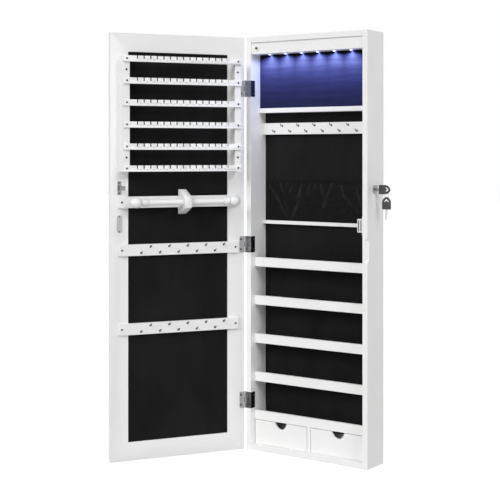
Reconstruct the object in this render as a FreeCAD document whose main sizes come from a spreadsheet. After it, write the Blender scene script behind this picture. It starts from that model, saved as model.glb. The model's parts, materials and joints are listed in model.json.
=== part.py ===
"""Wall-hung jewelry cabinet with a mirror door, drawn with the door standing open.

Millimetres. The origin is on the wall plane, at the bottom edge, midway across the width:
+X to the right seen from the front, +Y into the wall, +Z up. The front edge of the case is at
y = -cabinet_depth. Door pieces are drawn with the door shut, from the hinge axis, and are then
turned about that axis by open_angle.
"""
import FreeCAD, Part
import math
import os
import re

import Sketcher

V = FreeCAD.Vector
X_AXIS, Y_AXIS, Z_AXIS = V(1, 0, 0), V(0, 1, 0), V(0, 0, 1)

# ---------------------------------------------------------------- driving dimensions

SPEC = [
    # case
    ("cabinet_width", 365, "outside width of case and door"),
    ("cabinet_height", 1080, "outside height of case and door"),
    ("cabinet_depth", 80, "wall to front edge of the case"),
    ("panel_thick", 14, "side, top and bottom boards"),
    ("back_thick", 3, "hardboard back"),
    ("rabbet", 6, "how far the back enters each side"),
    ("lining_thick", 3, "velvet covered lining boards"),
    ("back_pad", 6, "padding between the back and the velvet board in front of it"),
    ("rail_thick", 14, "hanging rail"),
    ("rail_tall", 60, "hanging rail"),
    # finger pull on the right side's front corner
    ("pull_drop", 542, "top of the case down to the middle of the finger pull"),
    ("pull_length", 70, "finger pull"),
    ("pull_leg", 9, "finger pull, across its bevel on each face"),
    # keyhole hangers
    ("hanger_spacing", 240, "between the two keyholes"),
    ("hanger_drop", 44, "top of the case down to the keyholes' round ends"),
    ("hanger_length", 44, "plate"),
    ("hanger_width", 18, "plate"),
    ("hanger_thick", 1.5, "plate"),
    ("keyhole_radius", 5, "round end, passes a screw head"),
    ("keyslot_width", 4.6, "slot, passes a screw shank"),
    ("keyslot_rise", 12, "round end up to the slot's seat"),
    ("keyhole_pocket", 9, "depth of the pocket behind a plate"),
    # lit compartment
    ("fascia_tall", 30, "board in front of the lights"),
    ("fascia_thick", 6, "board in front of the lights"),
    ("fascia_setback", 4, "front edge back to the fascia"),
    ("soffit_thick", 6, "board that carries the lights"),
    ("light_shelf_drop", 185, "top of the case down to the shelf's upper face"),
    ("light_shelf_thick", 12, "shelf under the lit panel"),
    ("light_shelf_setback", 38, "front edge back to the shelf's front"),
    ("light_panel_step", 4, "shelf front back to the lit velvet panel"),
    ("led_pitch", 49.2, "between lights"),
    ("led_margin", 45, "inner wall to the first light, at least"),
    ("led_setback", 21, "front edge back to the lights' centres"),
    ("led_radius", 3.5, "dome"),
    ("led_flange", 5, "flange radius"),
    ("led_stem", 3, "stem radius"),
    ("battery_length", 104, "battery holder"),
    ("battery_depth", 24, "battery holder"),
    ("battery_tall", 14, "battery holder"),
    # switch that the door presses
    ("switch_inset", 31, "case's outer side to the switch's centre"),
    ("switch_bore", 2.4, "radius of the plunger's guide"),
    ("switch_collar", 6, "collar radius"),
    ("switch_barrel", 4.5, "barrel radius"),
    ("switch_length", 15, "barrel behind the fascia's front"),
    ("plunger_gap", 0.3, "plunger tip to the shut door"),
    ("plunger_travel", 3, "stroke"),
    # necklace zone
    ("hook_board_drop", 254, "top of the case down to the board's lower edge"),
    ("hook_board_tall", 30, "necklace hook board"),
    ("hook_board_thick", 12, "necklace hook board and pouch bar"),
    ("necklace_pitch", 25.2, "between necklace hooks"),
    ("necklace_shift", 6.5, "row of hooks, right of the middle"),
    ("necklace_margin", 29, "inner wall to the first hook, at least"),
    ("bar_drop", 490, "top of the case down to the pouch bar's lower edge"),
    ("bar_tall", 9, "pouch bar"),
    ("pouch_tall", 103, "pouch, bar to hem"),
    ("pouch_swell", 10, "lining to the hem's front"),
    ("pouch_cloth", 1.4, "gathered cloth"),
    ("pouch_inset", 9, "inner wall to the pouch's end"),
    ("pouch_folds", 9, "main folds"),
    # shelves and drawers
    ("shelf_count", 4, "open shelves above the drawers' own"),
    ("shelf_setback", 18, "front edge back to shelf fronts and drawers"),
    ("shelf_rail_tall", 24, "strip along a shelf's front"),
    ("shelf_rail_thick", 8, "strip along a shelf's front"),
    ("shelf_thick", 9, "shelf board"),
    ("top_bay_extra", 10, "how much taller the bay above the top shelf is"),
    ("shelf_cloth", 1, "velvet floor"),
    ("drawer_space", 63.5, "bottom board up to the drawers' shelf"),
    ("divider_thick", 10, "between the drawers"),
    ("drawer_clear", 1.2, "round a drawer's front"),
    ("drawer_float", 0.3, "drawer above the bottom board"),
    ("drawer_front_thick", 8, "drawer"),
    ("drawer_wall", 5, "drawer sides and back"),
    ("drawer_base", 4, "drawer bottom"),
    ("drawer_side_tall", 48, "drawer sides"),
    ("grip_radius", 18, "half-moon finger cut-out"),
    ("grip_drop", 17, "depth of the cut-out"),
    # lock and keys
    ("lock_drop", 393, "top of the case down to the lock"),
    ("lock_to_wall", 43, "wall to the lock's axis"),
    ("lock_flange", 11, "flange radius"),
    ("lock_flange_thick", 2.5, "flange"),
    ("lock_barrel", 8.8, "barrel radius"),
    ("lock_length", 22.5, "case's outer face to the barrel's end"),
    ("plug_radius", 6, "turning plug"),
    ("tang_side", 5.6, "square that carries the cam"),
    ("cam_thick", 2, "cam"),
    ("cam_reach", 29, "axis to the cam's tip"),
    ("cam_width", 8, "cam's arm"),
    ("cam_hook", 16, "length of the cam's hook"),
    ("cam_hook_thick", 5, "cam's hook"),
    ("cam_rest_angle", 118, "from straight forward down to the arm, unlocked"),
    ("blade_tall", 7, "key blade"),
    ("blade_thick", 2.2, "key blade"),
    ("blade_in_plug", 22, "key blade inside the plug"),
    ("blade_free", 9.5, "key blade between lock and head"),
    ("head_length", 31, "key head"),
    ("head_tall", 23, "key head"),
    ("head_thick", 4.5, "key head"),
    ("key_grip_in_head", 9, "blade inside the head"),
    ("chevron_inset", 3.8, "head's tip to the see-through chevron's point"),
    ("chevron_length", 7.5, "chevron along the head, point to arm end"),
    ("chevron_half", 7, "chevron, half its spread"),
    ("chevron_stroke", 4.4, "chevron's arm, along the head"),
    ("ring_radius", 9, "key ring, to the wire's middle"),
    ("ring_wire", 0.6, "wire radius"),
    ("spare_blade_length", 27, "free end of the spare key"),
    # magnetic catch
    ("catch_drop", 482, "top of the case down to the catch"),
    ("catch_tall", 33, "catch body"),
    ("catch_thick", 15, "catch body, out from the side"),
    ("catch_deep", 14, "catch body, front to back"),
    ("catch_base_tall", 47, "mounting flange"),
    ("catch_base_thick", 1.5, "mounting flange"),
    ("pole_thick", 1.5, "pole plates"),
    ("pole_gap", 0.3, "pole plates to the shut door's strike plate"),
    # door
    ("door_thick", 16, "door"),
    ("door_gap", 3, "case's front edge to the shut door"),
    ("door_border", 47, "frame round the velvet panel"),
    ("lining_recess", 3, "velvet panel below the frame's inner face"),
    ("mirror_thick", 3, "glass"),
    ("mirror_recess", 2, "glass below the frame's outer face"),
    ("mirror_lap", 5, "how far the glass overlaps the frame"),
    ("open_angle", 121, "door's opening in the rest pose"),
    # hinges
    ("hinge_tall", 42, "each hinge"),
    ("hinge_low", 129.5, "bottom of the case up to the lowest hinge's middle"),
    ("hinge_drop", 134, "top of the case down to the highest hinge's middle"),
    ("barrel_radius", 2.5, "knuckles"),
    ("barrel_clear", 0.2, "knuckles to the case's side"),
    ("pin_radius", 1.25, "hinge pin"),
    ("pin_head", 2.1, "hinge pin's heads"),
    ("pin_head_thick", 0.8, "hinge pin's heads"),
    ("running_clear", 0.05, "radial clearance of turning and sliding fits"),
    ("leaf_thick", 1.2, "hinge leaves"),
    ("leaf_wrap", 17, "frame leaf along the inner wall"),
    ("door_leaf", 13, "door leaf along the door"),
    ("knuckle_gap", 0.4, "between knuckles and round them"),
    # earring and ring rack
    ("rack_drop", 59, "top of the door down to the rack's top"),
    ("rack_rails", 6, "notched rails"),
    ("rack_pitch", 55, "between rails"),
    ("rack_rail_tall", 15.5, "notched rail"),
    ("rack_rail_thick", 3.5, "notched rail"),
    ("rack_rail_inset", 22.5, "door's edge to a rail's end"),
    ("rack_lip", 1.5, "rail's lower lip stands out"),
    ("rack_lip_tall", 2.6, "rail's lower lip"),
    ("post_width", 17, "post"),
    ("post_deep", 33, "post stands off the door"),
    ("post_inset", 23.5, "door's edge to a post"),
    ("slot_pitch", 17.5, "between notches"),
    ("slot_margin", 37, "rail's end to the first notch, at least"),
    ("slot_width", 3.6, "notch"),
    ("slot_deep", 8, "notch"),
    # bracelet rod
    ("batten_drop", 427, "top of the door down to the batten's middle"),
    ("batten_tall", 29, "batten"),
    ("board_thick", 8, "batten and hook boards on the door"),
    ("board_inset", 20, "door's edge to a board's end"),
    ("bracket_width", 20, "bracket along the rod"),
    ("bracket_root", 63, "bracket's height at the batten"),
    ("bracket_nose", 25, "bracket's height at its front"),
    ("bracket_past", 17, "rod's axis to the bracket's front"),
    ("rod_to_wall", 41, "rod's axis to the wall with the door shut"),
    ("rod_radius", 7.5, "rod"),
    ("rod_end_inset", 50.5, "door's edge to a ball's centre"),
    ("ball_radius", 13.7, "ball ends"),
    ("ball_stretch", 1.15, "ball ends, length over width"),
    ("holder_shift", 5, "bracket and rod, nearer to the hinges than the door's middle"),
    ("collar_radius", 9.2, "collars beside the balls"),
    ("collar_length", 16, "collars"),
    # hook boards on the door
    ("upper_board_drop", 548, "top of the door down to the board's middle"),
    ("board_spacing", 199, "between the two hook boards"),
    ("board_tall", 29, "hook boards"),
    ("door_hook_shift", 8.3, "rows of hooks, nearer to the hinges than the door's middle"),
    ("hook_pitch", 25, "between hooks"),
    ("hook_margin", 49, "board's end to the first hook, at least"),
    ("hook_stagger", 7.5, "hooks above and below the board's middle"),
    ("hook_wire", 1.1, "hook's wire radius"),
    ("hook_reach", 10, "hook stands off its board"),
    ("hook_rise", 6, "hook's upturned tip"),
    ("hook_base", 2.8, "hook's base radius"),
    ("hook_base_thick", 1, "hook's base"),
    # strike and magnet's plate on the door
    ("strike_thick", 1.5, "strike"),
    ("strike_base_tall", 34, "strike's base"),
    ("strike_base_wide", 9, "strike's base"),
    ("strike_arm_tall", 11, "strike's arm and lip"),
    ("strike_lip", 10, "strike's lip"),
    ("strike_to_cam", 0.8, "arm beside the cam"),
    ("strike_lip_back", 19.5, "lock's axis to the back of the lip"),
    ("plate_tall", 45, "magnet's plate"),
    ("plate_wide", 13, "magnet's plate"),
    ("plate_thick", 1.2, "magnet's plate"),
    ("edge_break", 0.8, "bevel along the boards' outer edges"),
]

# Places worked out from the driving dimensions.
DERIVED = {
    "inner_half": "cabinet_width/2 - panel_thick",
    "inner_bottom": "panel_thick",
    "inner_top": "cabinet_height - panel_thick",
    "back_face": "-back_thick - back_pad - lining_thick",
    "shelf_front": "-cabinet_depth + shelf_setback",
    "fascia_front": "-cabinet_depth + fascia_setback",
    "fascia_bottom": "inner_top - fascia_tall",
    "light_shelf_top": "cabinet_height - light_shelf_drop",
    "light_shelf_bottom": "light_shelf_top - light_shelf_thick",
    "light_shelf_front": "-cabinet_depth + light_shelf_setback",
    "light_panel_front": "light_shelf_front + light_panel_step",
    "led_y": "-cabinet_depth + led_setback",
    "switch_x": "-cabinet_width/2 + switch_inset",
    "switch_z": "fascia_bottom + fascia_tall/2",
    "hook_board_bottom": "cabinet_height - hook_board_drop",
    "bar_bottom": "cabinet_height - bar_drop",
    "bar_top": "bar_bottom + bar_tall",
    "drawer_shelf_z": "inner_bottom + drawer_space",
    "shelf_pitch": "(bar_bottom - drawer_shelf_z - top_bay_extra)/(shelf_count + 1)",
    "drawer_half": "(inner_half - divider_thick/2)/2",
    "drawer_mid": "inner_half - drawer_half",
    "drawer_bottom": "inner_bottom + drawer_float",
    "drawer_top": "drawer_shelf_z - drawer_clear",
    "lock_z": "cabinet_height - lock_drop",
    "lock_y": "-lock_to_wall",
    "barrel_end": "cabinet_width/2 - lock_length",
    "lock_face": "cabinet_width/2 + lock_flange_thick",
    "cam_outer": "barrel_end - strike_to_cam",
    "head_start": "lock_face + blade_free",
    "head_tip": "head_start + head_length",
    "chevron_tip": "head_tip - chevron_inset",
    "ring_x": "chevron_tip - chevron_length + 1",
    "ring_z": "lock_z - 4.8 - ring_radius",
    "catch_z": "cabinet_height - catch_drop",
    "pivot_out": "barrel_radius + barrel_clear",
    "pivot_x": "-cabinet_width/2 - pivot_out",
    "pivot_y": "-cabinet_depth - door_gap/2",
    "door_face": "-door_gap/2",
    "rod_standoff": "cabinet_depth + door_gap - rod_to_wall",
    "rack_top": "cabinet_height - rack_drop",
    "rack_bottom": "rack_top - rack_pitch*(rack_rails - 1) - rack_rail_tall",
    "batten_z": "cabinet_height - batten_drop",
    "upper_board_z": "cabinet_height - upper_board_drop",
    "lower_board_z": "upper_board_z - board_spacing",
    "strike_reach": "cabinet_depth + door_gap - lock_to_wall - strike_lip_back",
    "strike_u": "cabinet_width/2 + cam_outer + 0.3",
    "plate_u": "cabinet_width - panel_thick - catch_thick/2 - 2",
}

doc = FreeCAD.newDocument("JewelryCabinet")
sheet = doc.addObject("Spreadsheet::Sheet", "Spec")
for row, (alias, value, note) in enumerate(SPEC, start=1):
    sheet.set(f"A{row}", note)
    sheet.set(f"B{row}", str(value))
    sheet.setAlias(f"B{row}", alias)
doc.recompute()

ALIASES = {alias for alias, _, _ in SPEC}
parts = []


def ex(text):
    """A short formula with its names replaced by sheet cells and worked-out places."""

    def name(match):
        word = match.group(0)
        if word in DERIVED:
            return f"({ex(DERIVED[word])})"
        return f"Spec.{word}" if word in ALIASES else word

    return re.sub(r"[a-z_]+[a-z]", name, str(text))


def val(text):
    return float(sheet.evalExpression(ex(text)))


def point(x, y, z):
    return V(val(x), val(y), val(z))


def bind(obj, prop, text):
    obj.setExpression(prop, ex(text))


# ---------------------------------------------------------------- building blocks


def place(obj, corner, turn=None):
    if turn:
        obj.Placement.Rotation = turn
    for axis, text in zip("xyz", corner):
        bind(obj, f"Placement.Base.{axis}", text)


def block(name, low, high):
    """A box between two corners given as formulas."""
    box = doc.addObject("Part::Box", name)
    for prop, a, b in zip(("Length", "Width", "Height"), low, high):
        bind(box, prop, f"({b}) - ({a})")
    place(box, low)
    return box


TURNS = {
    "x": FreeCAD.Rotation(Y_AXIS, 90),
    "y": FreeCAD.Rotation(X_AXIS, -90),
    "z": FreeCAD.Rotation(),
}


def drum(name, radius, length, start, axis="z"):
    """A cylinder that runs along +axis from its start."""
    body = doc.addObject("Part::Cylinder", name)
    bind(body, "Radius", radius)
    bind(body, "Height", length)
    place(body, start, TURNS[axis])
    return body


def cut(name, base, *tools):
    for index, tool in enumerate(tools):
        result = doc.addObject("Part::Cut", f"{name}_cut{index}")
        result.Base, result.Tool = base, tool
        base = result
    return base


def fuse(name, *shapes):
    result = doc.addObject("Part::MultiFuse", f"{name}_fuse")
    result.Shapes = list(shapes)
    result.Refine = True
    return result


def compound(name, shapes):
    """One object that holds several separate solids."""
    result = doc.addObject("Part::Feature", f"{name}_group")
    result.Shape = Part.makeCompound(shapes)
    return result


def sketch_on(body, plane, offset="0"):
    sketch = body.newObject("Sketcher::SketchObject", f"{body.Name}_sketch")
    origin = [f for f in body.Origin.OriginFeatures if f.Role == plane][0]
    sketch.AttachmentSupport = [(origin, "")]
    sketch.MapMode = "FlatFace"
    bind(sketch, "AttachmentOffset.Base.z", offset)
    return sketch


def outline(sketch, corners):
    """A closed loop of lines whose corners are held to formulas; a loop's third item on a
    corner is the mid point of an arc that runs from that corner to the next."""
    spots = [V(val(c[0]), val(c[1]), 0) for c in corners]
    count = len(corners)
    first = sketch.GeometryCount
    for i, corner in enumerate(corners):
        start, end = spots[i], spots[(i + 1) % count]
        if len(corner) > 2:
            middle = V(val(corner[2][0]), val(corner[2][1]), 0)
            if (middle - start).cross(end - middle).z < 0:
                start, end = end, start
            arc = Part.Arc(start, middle, end).toShape()
            sketch.addGeometry(Part.ArcOfCircle(arc.Curve, *arc.ParameterRange))
        else:
            sketch.addGeometry(Part.LineSegment(start, end))
    ends = []
    for i in range(count):
        start_is_first = sketch.getPoint(first + i, 1).distanceToPoint(spots[i]) < 1e-4
        ends.append((1, 2) if start_is_first else (2, 1))
    for i in range(count):
        after = (i + 1) % count
        sketch.addConstraint(
            Sketcher.Constraint("Coincident", first + i, ends[i][1], first + after, ends[after][0])
        )
    for i, corner in enumerate(corners):
        for kind, text, spot in (("DistanceX", corner[0], spots[i].x), ("DistanceY", corner[1], spots[i].y)):
            rule = sketch.addConstraint(
                Sketcher.Constraint(kind, -1, 1, first + i, ends[i][0], spot)
            )
            bind(sketch, f"Constraints[{rule}]", text)
        if len(corner) > 2:
            chord = spots[(i + 1) % count] - spots[i]
            centre = sketch.Geometry[first + i].Center
            kind, spot = ("DistanceY", centre.y) if abs(chord.x) > abs(chord.y) else ("DistanceX", centre.x)
            sketch.addConstraint(Sketcher.Constraint(kind, -1, 1, first + i, 3, spot))


def circle(sketch, x, y, radius):
    index = sketch.addGeometry(Part.Circle(V(val(x), val(y), 0), Z_AXIS, val(radius)))
    for kind, text in (("DistanceX", x), ("DistanceY", y)):
        rule = sketch.addConstraint(Sketcher.Constraint(kind, -1, 1, index, 3, val(text)))
        bind(sketch, f"Constraints[{rule}]", text)
    rule = sketch.addConstraint(Sketcher.Constraint("Radius", index, val(radius)))
    bind(sketch, f"Constraints[{rule}]", radius)


def extrude(body, kind, plane, draw, start, length, backward=False):
    """A pad or pocket of what draw puts on a sketch, from start along the plane's normal."""
    sketch = sketch_on(body, plane, start)
    draw(sketch)
    feature = body.newObject(f"PartDesign::{kind}", f"{body.Name}_{kind.lower()}")
    feature.Profile = sketch
    bind(feature, "Length", length)
    feature.Reversed = backward
    return feature


def new_body(name):
    return doc.addObject("PartDesign::Body", f"{name}_body")


def padded(name, plane, corners, start, length):
    body = new_body(name)
    extrude(body, "Pad", plane, lambda sketch: outline(sketch, corners), start, length)
    return body


def turned(name, corners, start, turn):
    """A revolved piece: corners are (radius, along) pairs, its axis stands along local Z."""
    body = new_body(name)
    sketch = sketch_on(body, "XZ_Plane")
    outline(sketch, corners)
    feature = body.newObject("PartDesign::Revolution", f"{name}_turning")
    feature.Profile = sketch
    feature.ReferenceAxis = (sketch, ["V_Axis"])
    feature.Angle = 360
    place(body, start, turn)
    return body


def rect(x_low, y_low, x_high, y_high):
    return [(x_low, y_low), (x_high, y_low), (x_high, y_high), (x_low, y_high)]


def keep(obj, label, home="case"):
    """Names a finished piece. Door pieces are swung open about the hinge axis."""
    obj.Label = label
    if home == "door":
        obj.Placement.Rotation = FreeCAD.Rotation(Z_AXIS, -1)
        bind(obj, "Placement.Base.x", "pivot_x")
        bind(obj, "Placement.Base.y", "pivot_y")
        bind(obj, "Placement.Rotation.Angle", "-open_angle")
    parts.append(obj)
    return obj


def door_block(name, u_low, u_high, out_low, out_high, z_low, z_high):
    """A box on the shut door: u from the hinge edge, out from the inner face towards the case."""
    return block(
        name,
        (f"pivot_out + {u_low}", f"door_face + {out_low}", z_low),
        (f"pivot_out + {u_high}", f"door_face + {out_high}", z_high),
    )


FACING = {
    "+x": FreeCAD.Rotation(Y_AXIS, 90),
    "-x": FreeCAD.Rotation(Y_AXIS, -90),
    "+y": FreeCAD.Rotation(X_AXIS, -90),
    "-y": FreeCAD.Rotation(X_AXIS, 90),
}
HANGER_X = ["-hanger_spacing/2", "hanger_spacing/2"]
KEYHOLE_Z = "cabinet_height - hanger_drop"
HINGE_Z = ["hinge_low", "(cabinet_height + hinge_low - hinge_drop)/2", "cabinet_height - hinge_drop"]
POST_U = ["post_inset + post_width/2", "cabinet_width - post_inset - post_width/2"]


def prism(sides, radius, length, start=0.0, end_radius=None):
    """A many-sided bar along +Z, for small round pieces that repeat. It may taper."""
    wires = []
    for size, z in ((radius, start), (end_radius or radius, start + length)):
        angles = [2 * math.pi * k / sides for k in range(sides + 1)]
        wires.append(Part.makePolygon([V(size * math.cos(a), size * math.sin(a), z) for a in angles]))
    return Part.makeLoft(wires, True, True)


# ---------------------------------------------------------------- case


def side_panel(side):
    """A full-height side board, rabbeted along its inner back corner for the back."""
    inner, outer = f"{side}*inner_half", f"{side}*cabinet_width/2"
    return padded(
        "left_side" if side < 0 else "right_side",
        "XY_Plane",
        [
            (outer, "-cabinet_depth"),
            (inner, "-cabinet_depth"),
            (inner, "-back_thick"),
            (f"{side}*(inner_half + rabbet)", "-back_thick"),
            (f"{side}*(inner_half + rabbet)", "0"),
            (outer, "0"),
        ],
        "0",
        "cabinet_height",
    )


def finger_pull():
    """A bevel that runs out at both ends, cut into the right side's outer front corner."""
    reach, leg, half = val("pull_length"), val("pull_leg"), val("pull_length/2")
    corner = V(val("cabinet_width/2"), val("-cabinet_depth"), val("cabinet_height - pull_drop"))
    run_out = 12.0
    wires = []
    for along, size in ((-half, 0.02), (-half + run_out, leg), (half - run_out, leg), (half, 0.02)):
        at = corner + V(0, 0, along)
        loop = [at + V(0.5, -0.5, 0), at + V(-size, -0.5, 0), at + V(0.5, size, 0)]
        wires.append(Part.makePolygon(loop + loop[:1]))
    tool = doc.addObject("Part::Feature", "finger_pull_tool")
    tool.Shape = Part.makeLoft(wires, True, True)
    return tool


def build_case():
    keep(side_panel(-1), "left_side_panel")
    lock_hole = drum(
        "lock_hole", "lock_barrel + running_clear", "panel_thick + 2", ("inner_half - 1", "lock_y", "lock_z"), "x"
    )
    keep(cut("right_side", side_panel(1), lock_hole, finger_pull()), "right_side_panel")
    for label, low, high in (
        ("top_panel", "inner_top", "cabinet_height"),
        ("bottom_panel", "0", "inner_bottom"),
    ):
        keep(padded(label, "XY_Plane", rect("-inner_half", "-cabinet_depth", "inner_half", "-back_thick"),
                    low, f"({high}) - ({low})"), label)
    back = block(
        "back_sheet",
        ("-inner_half - rabbet", "-back_thick", "0"),
        ("inner_half + rabbet", "0", "cabinet_height"),
    )
    windows = [
        block(
            f"hanger_window{i}",
            (f"{x} - hanger_width/2 - 1", "-back_thick - 1", f"{KEYHOLE_Z} + 6 - hanger_length/2 - 1"),
            (f"{x} + hanger_width/2 + 1", "1", f"{KEYHOLE_Z} + 6 + hanger_length/2 + 1"),
        )
        for i, x in enumerate(HANGER_X)
    ]
    keep(cut("back", back, *windows), "back_panel")
    keep(
        padded(
            "back_lining", "XY_Plane",
            rect("-inner_half", "back_face", "inner_half", "-back_thick"),
            "inner_bottom", "light_shelf_bottom - inner_bottom",
        ),
        "back_lining",
    )


def build_hangers():
    """The rail behind the lit panel, with a keyhole plate let in near each end."""
    rail = block(
        "hanging_rail_bar",
        ("-inner_half", "-back_thick - rail_thick", "inner_top - rail_tall"),
        ("inner_half", "-back_thick", "inner_top"),
    )
    pockets = [
        block(
            f"keyhole_pocket{i}",
            (f"{x} - 6.5", "-back_thick - keyhole_pocket", f"{KEYHOLE_Z} - 6.5"),
            (f"{x} + 6.5", "-back_thick + 1", f"{KEYHOLE_Z} + keyslot_rise + 5.5"),
        )
        for i, x in enumerate(HANGER_X)
    ]
    keep(cut("rail", rail, *pockets), "hanging_rail")
    plates = []
    for x in HANGER_X:
        plate = Part.makeBox(
            val("hanger_width"), val("hanger_thick"), val("hanger_length"),
            point(f"{x} - hanger_width/2", "-back_thick", f"{KEYHOLE_Z} + 6 - hanger_length/2"),
        )
        long_edges = [e for e in plate.Edges if abs(e.tangentAt(e.FirstParameter).y) > 0.99]
        plate = plate.makeFillet(val("hanger_width/3"), long_edges)
        deep = val("hanger_thick") + 2
        hole = Part.makeCylinder(val("keyhole_radius"), deep, point(x, "-back_thick - 1", KEYHOLE_Z), Y_AXIS)
        seat = Part.makeCylinder(
            val("keyslot_width/2"), deep, point(x, "-back_thick - 1", f"{KEYHOLE_Z} + keyslot_rise"), Y_AXIS
        )
        slot = Part.makeBox(
            val("keyslot_width"), deep, val("keyslot_rise"), point(f"{x} - keyslot_width/2", "-back_thick - 1", KEYHOLE_Z)
        )
        plates.append(plate.cut(hole.fuse([seat, slot])))
    keep(compound("keyhole_plate", plates), "keyhole_plates")


def build_lights():
    """Fascia, soffit with its row of lights, lit velvet panel and the shelf under it."""
    switch_hole = drum(
        "switch_hole", "switch_barrel + running_clear", "fascia_thick + 2",
        ("switch_x", "fascia_front - 1", "switch_z"), "y",
    )
    fascia = padded(
        "fascia", "XY_Plane", rect("-inner_half", "fascia_front", "inner_half", "fascia_front + fascia_thick"),
        "fascia_bottom", "fascia_tall",
    )
    keep(cut("fascia", fascia, switch_hole), "led_fascia")
    count = int((2 * val("inner_half") - 2 * val("led_margin")) // val("led_pitch")) + 1
    spots = [val("led_pitch") * (i - (count - 1) / 2) for i in range(count)]
    soffit = block(
        "soffit_board",
        ("-inner_half", "fascia_front + fascia_thick", "fascia_bottom"),
        ("inner_half", "light_panel_front", "fascia_bottom + soffit_thick"),
    )
    hole = prism(8, val("led_stem + running_clear"), val("soffit_thick") + 2, val("fascia_bottom") - 1)
    stem_holes = [hole.translated(V(x, val("led_y"), 0)) for x in spots]
    switch_room = drum(
        "switch_room", "switch_barrel + 1", "switch_length + 2", ("switch_x", "fascia_front", "switch_z"), "y"
    )
    keep(cut("soffit", soffit, compound("stem_holes", stem_holes), switch_room), "led_soffit")
    dome = val("led_radius")
    lens = prism(8, val("led_stem"), val("soffit_thick")).fuse(
        [prism(8, val("led_flange"), -0.8), prism(8, dome, -1.2, -0.8, dome * 0.85), prism(8, dome * 0.85, -1.2, -2, dome * 0.4)]
    )
    lens = lens.removeSplitter()
    lenses = [lens.translated(V(x, val("led_y"), val("fascia_bottom"))) for x in spots]
    keep(compound("lenses", lenses), "led_lenses")
    holder_x = "inner_half/2 - battery_length/2"
    holder = block(
        "holder_case",
        (holder_x, "light_panel_front - 4 - battery_depth", "fascia_bottom + soffit_thick"),
        (f"{holder_x} + battery_length", "light_panel_front - 4", "fascia_bottom + soffit_thick + battery_tall"),
    )
    keep(cut("holder", holder), "battery_box")
    keep(
        padded(
            "light_panel", "XY_Plane",
            rect("-inner_half", "light_panel_front", "inner_half", "light_panel_front + lining_thick"),
            "light_shelf_top", "inner_top - light_shelf_top",
        ),
        "light_panel",
    )
    keep(
        padded(
            "light_shelf", "XY_Plane", rect("-inner_half", "light_shelf_front", "inner_half", "-back_thick"),
            "light_shelf_bottom", "light_shelf_thick",
        ),
        "light_shelf",
    )


def build_switch():
    """A plunger in a collared barrel; its shoulder stops it behind the guide."""
    shoulder, chamber_end = "switch_bore + 0.9", "switch_length - 1.2"
    body = turned(
        "switch",
        [
            ("switch_bore", "1.5"), ("switch_collar", "1.5"), ("switch_collar", "0"), ("switch_barrel", "0"),
            ("switch_barrel", "-switch_length"), ("0", "-switch_length"), ("0", f"-({chamber_end})"),
            (f"{shoulder} + 0.3", f"-({chamber_end})"), (f"{shoulder} + 0.3", "-5"), ("switch_bore", "-5"),
        ],
        ("switch_x", "fascia_front", "switch_z"),
        FACING["-y"],
    )
    keep(body, "switch_body")
    tip = "fascia_setback + door_gap - plunger_gap"
    stem = "switch_bore - running_clear"
    plunger = turned(
        "plunger",
        [
            ("0", tip), (f"{stem} - 0.9", tip), (stem, f"{tip} - 0.9"), (stem, "-5.1"), (shoulder, "-5.1"),
            (shoulder, "-6.6"), ("0", "-6.6"),
        ],
        ("switch_x", "fascia_front", "switch_z"),
        FACING["-y"],
    )
    keep(plunger, "switch_plunger")


def hook_shape():
    """A wire hook that stands out along +Z from its base and turns up along +Y."""
    wire, reach, rise = val("hook_wire"), val("hook_reach"), val("hook_rise")
    base = prism(6, val("hook_base"), val("hook_base_thick"))
    arm = prism(6, wire, reach)
    tip = prism(6, wire, rise)
    tip.Placement = FreeCAD.Placement(V(0, -wire, reach - wire), FreeCAD.Rotation(X_AXIS, -90))
    return base.fuse([arm, tip]).removeSplitter()


def hook_row(x_middle, count, pitch, y, z_middle):
    """Hooks that look towards -Y, alternately below and above the middle line."""
    hooks = []
    for i in range(count):
        stagger = val("hook_stagger") * (1 if i % 2 else -1)
        hook = hook_shape()
        turn = FreeCAD.Rotation(X_AXIS, 90)
        hook.Placement = FreeCAD.Placement(V(x_middle + pitch * (i - (count - 1) / 2), y, z_middle + stagger), turn)
        hooks.append(hook)
    return hooks


def build_necklace_zone():
    keep(
        padded(
            "hook_board", "XY_Plane",
            rect("-inner_half", "back_face - hook_board_thick", "inner_half", "back_face"),
            "hook_board_bottom", "hook_board_tall",
        ),
        "hook_board",
    )
    count = int((2 * val("inner_half") - 2 * val("necklace_margin")) // val("necklace_pitch")) + 1
    hooks = hook_row(
        val("necklace_shift"), count, val("necklace_pitch"), val("back_face - hook_board_thick"),
        val("hook_board_bottom + hook_board_tall/2"),
    )
    keep(compound("necklace_hooks", hooks), "necklace_hooks")
    keep(
        padded(
            "pouch_bar", "XY_Plane",
            rect("-inner_half", "back_face - hook_board_thick", "inner_half", "back_face"),
            "bar_bottom", "bar_tall",
        ),
        "pouch_bar",
    )


def cloth_section(level, swell, depth_of_fold, cloth, soft_clear):
    """One level of the gathered cloth: a run of shallow arcs out and back along the same folds."""
    folds = int(val("pouch_folds"))
    half = val("inner_half - pouch_inset")
    back = val("back_face") - soft_clear
    z = val("bar_top") + soft_clear + level
    width = 2 * half / folds

    def wave(shift):
        spots = []
        for i in range(2 * folds + 1):
            x = -half + width * i / 2
            edge = math.sin(math.pi * (x + half) / (2 * half)) ** 0.35 if abs(x) < half - 0.1 else 0.0
            crest = depth_of_fold if i % 2 else 0.0
            spots.append(V(x, back - cloth - edge * (swell - cloth - depth_of_fold + crest) + shift, z))
        return spots

    front, rear = wave(0.0), wave(cloth)
    corners = front + rear[::-1]
    return Part.makePolygon(corners + corners[:1])


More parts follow.
